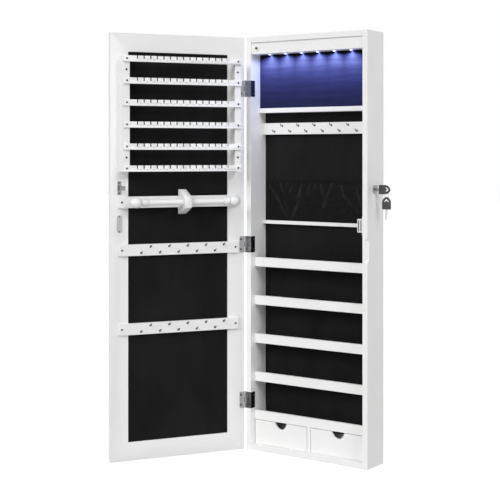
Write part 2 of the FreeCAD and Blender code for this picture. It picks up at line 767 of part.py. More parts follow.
def build_pouch():
    """A gathered cloth pocket: flat and sewn along the bar, swollen and folded at its hem."""
    tall, swell, cloth, soft_clear = val("pouch_tall"), val("pouch_swell"), val("pouch_cloth"), 0.3
    levels = (
        (0.0, 0.15, 0.04), (0.35, 0.7, 0.20), (0.8, 0.95, 0.26), (1.0, 1.0, 0.12),
    )
    wires = [
        cloth_section(tall * up, cloth + (swell - cloth) * out, (swell - cloth) * fold, cloth, soft_clear)
        for up, out, fold in levels
    ]
    pouch = doc.addObject("Part::Feature", "pouch_cloth_form")
    pouch.Shape = Part.makeLoft(wires, True, True)
    keep(pouch, "necklace_pouch")


def build_shelves():
    """Each shelf is a board with a taller strip glued along its front edge."""
    cloths = []
    for index in range(int(val("shelf_count")) + 1):
        z = f"drawer_shelf_z + {index}*shelf_pitch"
        label = "drawer_shelf" if index == 0 else f"shelf_{int(val('shelf_count')) + 1 - index}"
        body = padded(
            label, "YZ_Plane",
            [
                ("shelf_front", z), ("back_face", z), ("back_face", f"{z} + shelf_thick"),
                ("shelf_front + shelf_rail_thick", f"{z} + shelf_thick"),
                ("shelf_front + shelf_rail_thick", f"{z} + shelf_rail_tall"),
                ("shelf_front", f"{z} + shelf_rail_tall"),
            ],
            "-inner_half", "2*inner_half",
        )
        keep(body, label)
        cloths.append(
            Part.makeBox(
                val("2*inner_half"), val("back_face - shelf_front - shelf_rail_thick"), val("shelf_cloth"),
                point("-inner_half", "shelf_front + shelf_rail_thick", f"{z} + shelf_thick"),
            )
        )
    keep(compound("shelf_cloths", cloths), "shelf_linings")
    keep(
        padded(
            "drawer_divider", "XY_Plane", rect("-divider_thick/2", "shelf_front", "divider_thick/2", "back_face"),
            "inner_bottom", "drawer_space",
        ),
        "drawer_divider",
    )


def build_drawer(side, label):
    """An open box with a taller front, which has a half-moon finger cut-out in its top edge."""
    mid = f"{side}*drawer_mid"
    half = "(drawer_half - drawer_clear)"
    rear = "back_face - 2"
    front = block(
        f"{label}_front",
        (f"{mid} - {half}", "shelf_front", "drawer_bottom"),
        (f"{mid} + {half}", "shelf_front + drawer_front_thick", "drawer_top"),
    )
    box = block(
        f"{label}_box",
        (f"{mid} - {half}", "shelf_front + drawer_front_thick", "drawer_bottom"),
        (f"{mid} + {half}", rear, "drawer_bottom + drawer_side_tall"),
    )
    hollow = block(
        f"{label}_hollow",
        (f"{mid} - {half} + drawer_wall", "shelf_front + drawer_front_thick", "drawer_bottom + drawer_base"),
        (f"{mid} + {half} - drawer_wall", f"{rear} - drawer_wall", "drawer_bottom + drawer_side_tall + 1"),
    )
    grip = drum(
        f"{label}_grip", "grip_radius", "drawer_front_thick + 2",
        (mid, "shelf_front - 1", "drawer_top + grip_radius - grip_drop"), "y",
    )
    keep(cut(label, fuse(label, front, box), hollow, grip), label)
    cloth = block(
        f"{label}_cloth",
        (f"{mid} - {half} + drawer_wall", "shelf_front + drawer_front_thick", "drawer_bottom + drawer_base"),
        (
            f"{mid} + {half} - drawer_wall", f"{rear} - drawer_wall",
            "drawer_bottom + drawer_base + shelf_cloth",
        ),
    )
    keep(cut(f"{label}_lining", cloth), f"{label}_lining")


# ---------------------------------------------------------------- magnetic catch, lock and keys


def build_catch():
    front = "-cabinet_depth"
    body = block(
        "catch_case",
        ("inner_half - catch_thick", front, "catch_z - catch_tall/2"),
        ("inner_half - catch_base_thick", f"{front} + catch_deep", "catch_z + catch_tall/2"),
    )
    base = block(
        "catch_base",
        ("inner_half - catch_base_thick", front, "catch_z - catch_base_tall/2"),
        ("inner_half", f"{front} + catch_deep", "catch_z + catch_base_tall/2"),
    )
    pole_tip = "-cabinet_depth - door_gap + plate_thick + pole_gap"
    poles, seats = [], []
    for sign in (-1, 1):
        x = f"inner_half - catch_thick/2 - pole_thick/2 + {sign}*3.4"
        low = point(x, pole_tip, "catch_z - catch_tall/2 + 3")
        size = (val("pole_thick"), val(f"{front} + catch_deep - 3") - low.y, val("catch_tall - 6"))
        poles.append(Part.makeBox(*size, low))
        seats.append(Part.makeBox(*size, low))
    keep(cut("catch", fuse("catch", body, base), compound("pole_seats", seats)), "magnetic_catch")
    keep(compound("poles", poles), "catch_plates")


def cam_outline():
    """The hooked cam seen along X, arm straight out along +Y of the sketch, hook towards +Z."""
    half = "cam_width/2"
    root = "cam_reach - cam_hook_thick"
    hub = "7.5"
    return [
        ("-5.3", "-5.3", ("0", f"-{hub}")),
        ("6.35", f"-{half}"),
        ("cam_reach", f"-{half}"),
        ("cam_reach", "cam_hook"),
        (root, "cam_hook"),
        (root, half),
        ("6.35", half, ("0", hub)),
        ("-5.3", "5.3", (f"-{hub}", "0")),
    ]


def build_lock():
    """A cam lock through the right side: flanged barrel, nut, turning plug and hooked cam."""
    axis = ("cabinet_width/2", "lock_y", "lock_z")
    bore = "plug_radius + running_clear"
    housing = turned(
        "lock_housing",
        [
            (bore, "lock_flange_thick"), ("lock_flange", "lock_flange_thick"), ("lock_flange", "0"), ("lock_barrel", "0"),
            ("lock_barrel", "-lock_length"), (bore, "-lock_length"),
        ],
        axis, FACING["+x"],
    )
    keep(housing, "lock_housing")
    nut = Part.Face(
        Part.makePolygon([V(12.5 * math.cos(math.pi * k / 3), 12.5 * math.sin(math.pi * k / 3), 0) for k in range(7)])
    ).extrude(V(0, 0, 4))
    nut = nut.cut(Part.makeCylinder(val("lock_barrel + running_clear"), 6, V(0, 0, -1)))
    nut.Placement = FreeCAD.Placement(point("inner_half - 4", "lock_y", "lock_z"), FACING["+x"])
    keep(compound("lock_nut", [nut]), "lock_nut")
    plug = turned(
        "plug_turning",
        [("0", "lock_flange_thick"), ("plug_radius", "lock_flange_thick"), ("plug_radius", "-lock_length - 0.4"),
         ("0", "-lock_length - 0.4")],
        axis, FACING["+x"],
    )
    # seen along X: sketch x runs along the cam's arm, forward (-Y) and tipped down by the rest angle
    upright = FreeCAD.Rotation(V(0, -1, 0), V(0, 0, 1), V(-1, 0, 0), "ZXY")
    tipped = FreeCAD.Rotation(X_AXIS, val("cam_rest_angle")).multiply(upright)
    half = "tang_side/2"
    tang = padded(
        "plug_tang", "XY_Plane", rect(f"-{half}", f"-{half}", half, half), "0", "cam_thick + 2.2 + strike_to_cam - 0.4"
    )
    place(tang, ("barrel_end - 0.4", "lock_y", "lock_z"), tipped)
    keyway = block(
        "keyway",
        ("lock_face - blade_in_plug - 0.5", "lock_y - blade_thick/2 - 0.1", "lock_z - blade_tall/2 - 0.1"),
        ("lock_face + 1", "lock_y + blade_thick/2 + 0.1", "lock_z + blade_tall/2 + 0.1"),
    )
    keep(cut("plug", fuse("plug", plug, tang), keyway), "lock_plug")
    cam = padded("cam", "XY_Plane", cam_outline(), "0", "cam_thick")
    pocket_half = "tang_side/2 + 0.1"
    extrude(
        cam, "Pocket", "XY_Plane",
        lambda s: outline(s, rect(f"-({pocket_half})", f"-({pocket_half})", pocket_half, pocket_half)),
        "0", "cam_thick", backward=True,
    )
    place(cam, ("cam_outer", "lock_y", "lock_z"), tipped)
    keep(cam, "lock_cam")


def chevron(tip_x, tip_y, along, across):
    """A see-through arrowhead that points along +along from arms spread by chevron_half."""
    back = "chevron_length"
    rows = [
        ("0", "0"), (back, "chevron_half"), (f"{back} + 2.4", "chevron_half - 2.6"),
        ("chevron_stroke + 0.9", "0"), (f"{back} + 2.4", "-chevron_half + 2.6"), (back, "-chevron_half"),
    ]
    if along == "x":
        return [(f"({tip_x}) - ({a})", f"({tip_y}) + ({b})") for a, b in rows]
    return [(f"({tip_x}) + ({b})", f"({tip_y}) - ({a})") for a, b in rows]


def key_head(name):
    """The moulded head lies along local X from 0, its tip rounded to a blunt point."""
    half, long = "head_tall/2", "head_length"
    body = padded(
        name, "XZ_Plane",
        [
            ("0", f"-{half}"),
            (f"{long} - 13", f"-{half}", (f"{long} - 4.6", f"-{half}*0.66")),
            (long, "0", (f"{long} - 4.6", f"{half}*0.66")),
            (f"{long} - 13", half),
            ("0", half),
        ],
        "-head_thick/2", "head_thick",
    )
    extrude(
        body, "Pocket", "XZ_Plane", lambda s: outline(s, chevron(f"{long} - chevron_inset", "0", "x", "y")),
        "-head_thick/2", "head_thick", backward=True,
    )
    extrude(
        body, "Pocket", "XZ_Plane",
        lambda s: outline(s, rect("-1", "-blade_tall/2", "key_grip_in_head", "blade_tall/2")),
        "-blade_thick/2", "blade_thick", backward=True,
    )
    return body


def key_blade(name, free_length):
    """The blade lies along local X, cut along its lower edge and pointed at its free end."""
    half = "blade_tall/2"
    end = f"-({free_length})"
    return padded(
        name, "XZ_Plane",
        [
            ("key_grip_in_head", f"-{half}"), ("key_grip_in_head", half), (f"{end} + 3", half),
            (end, "0.6"), (end, "-0.6"), (f"{end} + 3", f"-{half} + 1.4"), (f"{end} + 6", f"-{half} + 2.8"),
            (f"{end} + 9", f"-{half} + 1.2"), (f"{end} + 12", f"-{half} + 2.2"), (f"{end} + 15", f"-{half}"),
        ],
        "-blade_thick/2", "blade_thick",
    )


def ring_shape():
    """The key ring, upright across the key's head."""
    sides, steps = 6, 24
    rings = []
    for step in range(steps):
        turn = FreeCAD.Rotation(X_AXIS, 360 * step / steps)
        spots = []
        for side in range(sides):
            angle = 2 * math.pi * side / sides
            out = val("ring_radius") + val("ring_wire") * math.cos(angle)
            spots.append(turn.multVec(V(val("ring_wire") * math.sin(angle), 0, out)))
        rings.append(spots)
    faces = []
    for step in range(steps):
        here, there = rings[step], rings[(step + 1) % steps]
        for side in range(sides):
            after = (side + 1) % sides
            corners = [here[side], here[after], there[after], there[side], here[side]]
            faces.append(Part.Face(Part.makePolygon(corners)))
    ring = Part.makeSolid(Part.makeShell(faces))
    rest = Part.makeCylinder(val("ring_wire") * 1.04, 2, V(0, -1, val("ring_radius")), Y_AXIS)
    ring = ring.fuse([rest])
    ring.translate(point("ring_x", "lock_y", "ring_z"))
    return compound("key_ring", [ring])


def build_keys():
    """One key in the lock; the spare hangs from a ring through the first key's chevron."""
    head = key_head("key_head")
    place(head, ("head_start", "lock_y", "lock_z"), FreeCAD.Rotation())
    keep(head, "key_head")
    blade = key_blade("key_blade", "blade_free + blade_in_plug")
    place(blade, ("head_start", "lock_y", "lock_z"), FreeCAD.Rotation())
    keep(blade, "key_blade")
    keep(ring_shape(), "key_ring")
    # the spare key hangs blade down, its chevron's point resting in the ring
    down = FreeCAD.Rotation(Y_AXIS, -90)
    hang_z = "ring_z - ring_radius + 1.3 - (head_length - chevron_inset)"
    for label, body in (
        ("spare_key_head", key_head("spare_key_head")),
        ("spare_key_blade", key_blade("spare_key_blade", "spare_blade_length")),
    ):
        place(body, ("ring_x", "lock_y", hang_z), down)
        keep(body, label)


# ---------------------------------------------------------------- hinges


def hinge_shapes(z_middle):
    """Frame leaf, door leaf and pin of one hinge, in door coordinates with the door shut."""
    tall, radius, thick = val("hinge_tall"), val("barrel_radius"), val("leaf_thick")
    gap, bore = val("knuckle_gap"), val("pin_radius + running_clear")
    out = val("pivot_out")
    z = val(z_middle) - tall / 2
    knuckle = (tall - 2 * gap) / 3
    front = val("door_gap/2") - thick

    def tube(start):
        barrel = prism(12, radius, knuckle, start)
        return barrel.cut(Part.makeCylinder(bore, knuckle + 2, V(0, 0, start - 1)))

    def strap(x_end, y_low, start, height):
        box = Part.makeBox(x_end, thick, height, V(0, y_low, start))
        return box.cut(Part.makeCylinder(bore, height + 2, V(0, 0, start - 1)))

    wrap_x = out + val("panel_thick")
    clear = radius + gap
    outer_knuckles = [z, z + 2 * (knuckle + gap)]
    wall = Part.makeBox(wrap_x - clear, thick, tall, V(clear, front, z))
    flange = Part.makeBox(thick, val("leaf_wrap") + thick, tall, V(wrap_x, front, z))
    frame = wall.fuse([flange] + [strap(wrap_x, front, s, knuckle) for s in outer_knuckles])
    frame = frame.fuse([tube(s) for s in outer_knuckles]).removeSplitter()
    face = -val("door_gap/2")
    middle = z + knuckle + gap
    leaf_end = out + val("door_leaf")
    plate = Part.makeBox(leaf_end - clear, thick, tall, V(clear, face, z))
    door = plate.fuse([strap(leaf_end, face, middle, knuckle), tube(middle)]).removeSplitter()
    head, lip = val("pin_head"), val("pin_head_thick")
    pin = prism(12, val("pin_radius"), tall, z).fuse([prism(12, head, lip, z - lip), prism(12, head, lip, z + tall)])
    return frame, door, pin.removeSplitter()


def build_hinges():
    sets = [hinge_shapes(z) for z in HINGE_Z]
    pivot = point("pivot_x", "pivot_y", "0")
    frames = compound("frame_leaves", [frame.translated(pivot) for frame, _, _ in sets])
    keep(frames, "hinge_frame_leaves")
    keep(compound("pins", [pin.translated(pivot) for _, _, pin in sets]), "hinge_pins")
    keep(compound("door_leaves", [door for _, door, _ in sets]), "hinge_door_leaves", "door")


# ---------------------------------------------------------------- door


def build_door():
    """A frame with a through opening: glass let into its front, velvet board behind the glass."""
    border, full_u, full_z = "door_border", "cabinet_width", "cabinet_height"
    frame = door_block("door_slab", "0", full_u, "-door_thick", "0", "0", full_z)
    bevelled = doc.addObject("Part::Chamfer", "door_slab_edges")
    bevelled.Base = frame
    doc.recompute()
    outer = [
        index
        for index, edge in enumerate(frame.Shape.Edges, start=1)
        if abs(edge.CenterOfMass.y - val("door_face - door_thick")) < 0.01
    ]
    bevelled.Edges = [(index, val("edge_break"), val("edge_break")) for index in outer]
    opening = door_block(
        "door_opening", border, f"{full_u} - {border}", "-door_thick - 1", "1", border, f"{full_z} - {border}"
    )
    lap = "(door_border - mirror_lap)"
    glass_seat = door_block(
        "glass_seat", lap, f"{full_u} - {lap}", "-door_thick - 1", "-door_thick + mirror_recess + mirror_thick",
        lap, f"{full_z} - {lap}",
    )
    keep(cut("door_frame", bevelled, opening, glass_seat), "door_frame", "door")
    glass = door_block(
        "glass_sheet", lap, f"{full_u} - {lap}", "-door_thick + mirror_recess",
        "-door_thick + mirror_recess + mirror_thick", lap, f"{full_z} - {lap}",
    )
    keep(compound_of(glass), "door_mirror", "door")
    lining = door_block(
        "velvet_board", border, f"{full_u} - {border}", "-door_thick + mirror_recess + mirror_thick",
        "-lining_recess", border, f"{full_z} - {border}",
    )
    keep(compound_of(lining), "door_lining", "door")


def compound_of(*objects):
    """Wraps drawn pieces so that the whole can be swung about the hinge axis."""
    wrapped = doc.addObject("Part::Compound", f"{objects[0].Name}_swung")
    wrapped.Links = list(objects)
    return wrapped


def build_rack():
    """Two posts that stand off the door and carry notched rails for earrings and rings."""
    posts = [
        door_block(
            f"post{i}", f"({u} - post_width/2)", f"({u} + post_width/2)", "0", "post_deep", "rack_bottom", "rack_top"
        )
        for i, u in enumerate(POST_U)
    ]
    keep(compound_of(*posts), "rack_posts", "door")

    rail_out, thick = "post_deep", "rack_rail_thick"
    body = new_body("earring_rail")
    low, high = "rack_rail_inset + pivot_out", "cabinet_width - rack_rail_inset + pivot_out"
    length = "cabinet_width - 2*rack_rail_inset"
    profile = [
        (f"door_face + {rail_out}", "rack_top"),
        (f"door_face + {rail_out}", "rack_top - rack_rail_tall"),
        (f"door_face + {rail_out} + {thick} + rack_lip", "rack_top - rack_rail_tall"),
        (f"door_face + {rail_out} + {thick} + rack_lip", "rack_top - rack_rail_tall + rack_lip_tall"),
        (f"door_face + {rail_out} + {thick}", "rack_top - rack_rail_tall + rack_lip_tall + rack_lip"),
        (f"door_face + {rail_out} + {thick}", "rack_top"),
    ]
    extrude(body, "Pad", "YZ_Plane", lambda s: outline(s, profile), low, length)
    count = int((val(length) - 2 * val("slot_margin")) // val("slot_pitch")) + 1
    first_slot = f"pivot_out + cabinet_width/2 - slot_pitch*{(count - 1) / 2} - slot_width/2"
    notch = extrude(
        body, "Pocket", "XZ_Plane",
        lambda s: outline(
            s, rect(first_slot, "rack_top - slot_deep", f"{first_slot} + slot_width", "rack_top + 1")
        ),
        f"-(door_face + {rail_out} - 1)", f"{thick} + 4",
    )
    doc.recompute()
    pattern = body.newObject("PartDesign::LinearPattern", "earring_notches")
    pattern.Originals = [notch]
    pattern.Direction = (notch.Profile[0], ["H_Axis"])
    bind(pattern, "Length", f"slot_pitch*{count - 1}")
    pattern.Occurrences = count
    body.Tip = pattern
    doc.recompute()
    rails = [
        body.Shape.translated(V(0, 0, -i * val("rack_pitch"))) for i in range(int(val("rack_rails")))
    ]
    keep(compound("earring_rails", rails), "earring_rails", "door")


def board(label, z_middle, tall):
    """A strip screwed across the door's inner face."""
    return door_block(
        f"{label}_strip", "board_inset", "cabinet_width - board_inset", "0", "board_thick",
        f"{z_middle} - {tall}/2", f"{z_middle} + {tall}/2",
    )


def build_bracelet_holder():
    keep(compound_of(board("batten", "batten_z", "batten_tall")), "bracelet_batten", "door")
    front = "door_face + rod_standoff + bracket_past"
    root = "door_face + board_thick"
    middle = "pivot_out + cabinet_width/2 - holder_shift"
    bracket = padded(
        "bracket", "YZ_Plane",
        [
            (root, "batten_z - bracket_root/2"), (f"{root} + 4", "batten_z - bracket_root/2"),
            (f"{front} - 3", "batten_z - bracket_nose/2 - 2"), (front, "batten_z - bracket_nose/2 + 2"),
            (front, "batten_z + bracket_nose/2 - 2"), (f"{front} - 3", "batten_z + bracket_nose/2 + 2"),
            (f"{root} + 4", "batten_z + bracket_root/2"), (root, "batten_z + bracket_root/2"),
        ],
        f"{middle} - bracket_width/2", "bracket_width",
    )
    rod_hole = drum(
        "rod_hole", "rod_radius + running_clear", "bracket_width + 2",
        (f"{middle} - bracket_width/2 - 1", "door_face + rod_standoff", "batten_z"), "x",
    )
    keep(cut("bracket", bracket, rod_hole), "bracelet_bracket", "door")
    reach = "(cabinet_width/2 - rod_end_inset)"
    neck = "ball_stretch*sqrt(ball_radius^2 - collar_radius^2)"
    ball = [
        (f"ball_radius*{math.cos(a):.4f}", f"ball_radius*ball_stretch*{math.sin(a):.4f}")
        for a in map(math.radians, (45, 0))
    ]
    rod = turned(
        "bracelet_rod",
        [("0", f"-{reach} - ball_radius*ball_stretch")]
        + [(out, f"-{reach} - {along}") for out, along in ball]
        + [
            ("collar_radius", f"-{reach} + {neck}"), ("collar_radius", f"-{reach} + {neck} + collar_length"),
            ("rod_radius", f"-{reach} + {neck} + collar_length"), ("rod_radius", f"{reach} - {neck} - collar_length"),
            ("collar_radius", f"{reach} - {neck} - collar_length"), ("collar_radius", f"{reach} - {neck}"),
        ]
        + [(out, f"{reach} + {along}") for out, along in reversed(ball)]
        + [("0", f"{reach} + ball_radius*ball_stretch")],
        (middle, "door_face + rod_standoff", "batten_z"), FACING["+x"],
    )
    keep(compound_of(rod), "bracelet_rod", "door")


def build_hook_boards():
    hooks = []
    count = int((val("cabinet_width - 2*board_inset") - 2 * val("hook_margin")) // val("hook_pitch")) + 1
    for label, z in (("upper_hook_board", "upper_board_z"), ("lower_hook_board", "lower_board_z")):
        keep(compound_of(board(label, z, "board_tall")), label, "door")
        row = hook_row(0, count, val("hook_pitch"), 0, 0)
        turn = FreeCAD.Placement(
            point("pivot_out + cabinet_width/2 - door_hook_shift", "door_face + board_thick", z),
            FreeCAD.Rotation(Z_AXIS, 180),
        )
        for hook in row:
            hook.Placement = turn.multiply(hook.Placement)
            hooks.append(hook)
    keep(compound("door_hooks", hooks), "door_hooks", "door")


def build_strikes():
    """The lock's strike, a base with a lipped arm, and the plate that the magnet holds."""
    low, high = "lock_z + 2 - strike_arm_tall/2", "lock_z + 2 + strike_arm_tall/2"
    half = "strike_base_wide/2"
    pieces = [
        door_block(
            "strike_base", f"(strike_u - {half})", f"(strike_u + {half})", "0", "strike_thick",
            "lock_z + 2 - strike_base_tall/2", "lock_z + 2 + strike_base_tall/2",
        ),
        door_block("strike_arm", "strike_u", "(strike_u + strike_thick)", "0", "strike_reach", low, high),
        door_block(
            "strike_lip_plate", "(strike_u - strike_lip)", "(strike_u + strike_thick)",
            "(strike_reach - strike_thick)", "strike_reach", low, high,
        ),
    ]
    keep(fuse("strike", *pieces), "lock_strike", "door")
    radius = "plate_wide/2"
    top, bottom = "catch_z + plate_tall/2", "catch_z - plate_tall/2"
    middle = "pivot_out + plate_u"
    plate = padded(
        "magnet_plate", "XZ_Plane",
        [
            (f"{middle} - {radius}", f"{bottom} + {radius}", (middle, bottom)),
            (f"{middle} + {radius}", f"{bottom} + {radius}"),
            (f"{middle} + {radius}", f"{top} - {radius}", (middle, top)),
            (f"{middle} - {radius}", f"{top} - {radius}"),
        ],
        "-(door_face + plate_thick)", "plate_thick",
    )
    keep(plate, "magnet_plate", "door")


# ---------------------------------------------------------------- whole cabinet

build_case()
build_hangers()
build_lights()
build_switch()
build_necklace_zone()
build_pouch()
build_shelves()
build_drawer(-1, "left_drawer")
build_drawer(1, "right_drawer")
build_catch()
build_lock()
build_keys()
build_hinges()
build_door()
build_rack()
build_bracelet_holder()
build_hook_boards()
build_strikes()
doc.recompute()

faults = [
    f"{obj.Name}: {state}" for obj in doc.Objects for state in obj.State if state in ("Invalid", "Error")
]
for obj in parts:
    shape = getattr(obj, "Shape", None)
    if shape is None or shape.isNull() or not shape.isValid() or not shape.Solids:
        faults.append(f"{obj.Label}: no sound solid")
if faults:
    raise SystemExit("; ".join(faults))

os.makedirs("parts", exist_ok=True)
for obj in parts:
    obj.Shape.exportStep(f"parts/{obj.Label}.step")
print(f"{len(parts)} pieces, {sum(len(obj.Shape.Solids) for obj in parts)} solids")
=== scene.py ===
import json
import math

import bmesh
import bpy
from mathutils import Matrix, Vector, noise

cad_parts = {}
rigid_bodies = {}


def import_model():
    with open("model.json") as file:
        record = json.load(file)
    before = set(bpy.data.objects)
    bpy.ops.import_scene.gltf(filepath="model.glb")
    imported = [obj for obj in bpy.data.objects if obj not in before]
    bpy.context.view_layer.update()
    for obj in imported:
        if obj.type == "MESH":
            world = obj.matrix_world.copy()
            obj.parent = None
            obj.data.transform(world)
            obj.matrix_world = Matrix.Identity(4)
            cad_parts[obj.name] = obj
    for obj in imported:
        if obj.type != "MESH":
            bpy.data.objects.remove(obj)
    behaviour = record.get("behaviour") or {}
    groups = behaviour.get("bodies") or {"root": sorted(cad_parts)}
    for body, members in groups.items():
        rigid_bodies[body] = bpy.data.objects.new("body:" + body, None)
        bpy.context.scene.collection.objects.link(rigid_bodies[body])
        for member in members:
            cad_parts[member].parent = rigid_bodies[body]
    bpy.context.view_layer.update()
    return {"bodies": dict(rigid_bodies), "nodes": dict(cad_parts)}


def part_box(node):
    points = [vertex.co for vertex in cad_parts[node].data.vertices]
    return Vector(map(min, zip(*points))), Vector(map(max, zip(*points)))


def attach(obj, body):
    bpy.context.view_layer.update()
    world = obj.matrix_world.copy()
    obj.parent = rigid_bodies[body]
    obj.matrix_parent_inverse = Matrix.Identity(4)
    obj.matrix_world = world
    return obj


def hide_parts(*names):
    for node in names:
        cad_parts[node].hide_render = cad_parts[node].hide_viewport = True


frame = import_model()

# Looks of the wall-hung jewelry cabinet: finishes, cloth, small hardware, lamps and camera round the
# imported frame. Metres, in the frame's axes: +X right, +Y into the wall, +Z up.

MM = 0.001
UP = Vector((0, 0, 1))
NODES = frame["nodes"]

# Door features are placed in the shut door's own coordinates: u across from the hinge, v out of its
# inner face, z up. The door stands open by the angle below about the hinge pins.
OPEN_ANGLE = math.radians(121)
PIVOT = Vector((-185.2, -81.5, 0)) * MM
DOOR = Matrix.Translation(PIVOT) @ Matrix.Rotation(-OPEN_ANGLE, 4, "Z")

# Rows and fixings of the cabinet, in millimetres.
LED_COUNT, LED_PITCH = 6, 49.2
LED_Y, LENS_Z, LAMP_Z = -59, 1036, 1031.5
RAILS, RAIL_PITCH = 6, 55
HOLES, HOLE_PITCH, HOLE_RADIUS = 14, 17.5, 1.15
HINGE_LEVELS = (129.5, 537.75, 946)
POST_SCREW_LEVELS = (986, 766)
CATCH_LEVEL = 598


# ---------------------------------------------------------------- places


def facing(origin, normal):
    """A place whose +Z is the normal and whose +Y is as near up as it can be."""
    out = Vector(normal).normalized()
    up = UP if abs(out.z) < 0.9 else Vector((0, 1, 0))
    side = up.cross(out).normalized()
    axes = Matrix((side, out.cross(side), out)).transposed()
    return Matrix.Translation(Vector(origin)) @ axes.to_4x4()


def on_door(u, v, z, normal=(0, 1, 0)):
    """A place on the door, from its own coordinates in millimetres."""
    return DOOR @ facing(Vector((u, v, z)) * MM, normal)


def in_case(x, y, z, normal=(0, -1, 0)):
    """A place in the case, in millimetres."""
    return facing(Vector((x, y, z)) * MM, normal)


def door_box(node):
    """Lowest and highest corner of a door node in the door's own coordinates, in millimetres."""
    back = DOOR.inverted()
    spots = [back @ vertex.co for vertex in NODES[node].data.vertices]
    return [[pick(spot[axis] for spot in spots) / MM for axis in range(3)] for pick in (min, max)]


def case_box(node):
    return [[value / MM for value in corner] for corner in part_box(node)]


# ---------------------------------------------------------------- finishes


class Finish:
    """A material and short calls for its nodes. Patterns follow the piece's own coordinates."""

    def __init__(self, name, colour, roughness, metallic=0.0):
        self.material = bpy.data.materials.new(name)
        self.material.use_nodes = True
        self.tree = self.material.node_tree
        self.shader = self.tree.nodes["Principled BSDF"]
        self.shader.inputs["Base Color"].default_value = (*colour, 1)
        self.shader.inputs["Roughness"].default_value = roughness
        self.shader.inputs["Metallic"].default_value = metallic
        self.place = self.add("ShaderNodeTexCoord").outputs["Object"]

    def add(self, kind, inputs=None, **settings):
        node = self.tree.nodes.new(kind)
        for key, value in settings.items():
            setattr(node, key, value)
        for key, value in (inputs or {}).items():
            self.feed(node.inputs[key], value)
        return node

    def feed(self, socket, value):
        if isinstance(value, bpy.types.NodeSocket):
            self.tree.links.new(value, socket)
        else:
            socket.default_value = value

    def stretched(self, x, y, z):
        """Coordinates scaled along each axis, for grain and brushing."""
        return self.add("ShaderNodeMapping", {"Vector": self.place, "Scale": (x, y, z)}).outputs[0]

    def noise(self, scale, detail=3.0, vector=None, distortion=0.0):
        return self.add(
            "ShaderNodeTexNoise",
            {"Vector": vector or self.place, "Scale": scale, "Detail": detail, "Distortion": distortion},
        ).outputs["Fac"]

    def cells(self, scale, vector=None):
        node = self.add("ShaderNodeTexVoronoi", {"Vector": vector or self.place, "Scale": scale})
        return node.outputs["Distance"]

    def math(self, operation, first, second=0.0):
        return self.add("ShaderNodeMath", {0: first, 1: second}, operation=operation).outputs[0]

    def between(self, factor, low, high, start=0.3, end=0.7):
        """A number that goes from low to high as the factor goes from start to end."""
        return self.add(
            "ShaderNodeMapRange",
            {"Value": factor, "From Min": start, "From Max": end, "To Min": low, "To Max": high},
        ).outputs[0]

    def tint(self, factor, first, second, start=0.3, end=0.7):
        ramp = self.add("ShaderNodeValToRGB", {"Fac": factor})
        for stop, spot, colour in zip(ramp.color_ramp.elements, (start, end), (first, second)):
            stop.position, stop.color = spot, (*colour, 1)
        return ramp.outputs["Color"]

    def colour(self, value):
        self.feed(self.shader.inputs["Base Color"], value)
        return self

    def rough(self, value):
        self.feed(self.shader.inputs["Roughness"], value)
        return self

    def bump(self, height, distance, strength=1.0):
        """Adds a relief of that depth in metres, over any relief already there."""
        normal = self.shader.inputs["Normal"]
        node = self.add("ShaderNodeBump", {"Height": height, "Distance": distance, "Strength": strength})
        if normal.is_linked:
            self.feed(node.inputs["Normal"], normal.links[0].from_socket)
        self.feed(normal, node.outputs[0])
        return self

    def set(self, **sockets):
        for name, value in sockets.items():
            self.feed(self.shader.inputs[name.replace("_", " ")], value)
        return self


def grey(level):
    return (level, level, level)


def white_paint():
    """Satin paint sprayed on fibreboard: faint orange peel, slow drift in shade and gloss."""
    finish = Finish("white_paint", (0.85, 0.85, 0.845), 0.42)
    cloudy = finish.noise(7.0, 4.0)
    finish.colour(finish.tint(cloudy, (0.835, 0.835, 0.828), (0.868, 0.868, 0.864)))
    finish.rough(finish.between(finish.noise(38.0, 3.0), 0.36, 0.5))
    finish.bump(finish.noise(520.0, 2.0), 0.00006, 0.5)
    return finish.bump(finish.noise(60.0, 2.0), 0.0001, 0.25)


def painted_hardboard():
    """Thin board with a white face and a pressed mesh on its rear."""
    finish = Finish("painted_hardboard", (0.8, 0.79, 0.77), 0.6)
    finish.colour(finish.tint(finish.noise(25.0, 6.0), (0.76, 0.75, 0.73), (0.83, 0.825, 0.81)))
    finish.rough(finish.between(finish.noise(90.0, 3.0), 0.52, 0.7))
    finish.bump(finish.cells(700.0), 0.00012, 0.5)
    return finish.bump(finish.noise(240.0, 5.0, finish.stretched(1, 1, 0.4)), 0.00012, 0.5)


def velvet(name="black_velvet", shade=0.0098):
    """Short pile: almost black face on, a little paler where it turns away or was brushed."""
    finish = Finish(name, (shade, shade, shade * 1.08), 0.92)
    brushed = finish.noise(11.0, 4.0, finish.stretched(1, 1, 0.35), distortion=0.6)
    finish.colour(finish.tint(brushed, grey(shade * 0.8), (shade * 1.3, shade * 1.3, shade * 1.42)))
    finish.rough(finish.between(finish.noise(60.0, 3.0), 0.85, 1.0))
    finish.bump(finish.noise(2600.0, 2.0), 0.0002, 0.6)
    finish.bump(brushed, 0.0006, 0.25)
    return finish.set(Sheen_Weight=0.1, Sheen_Roughness=0.45, Specular_IOR_Level=0.07)


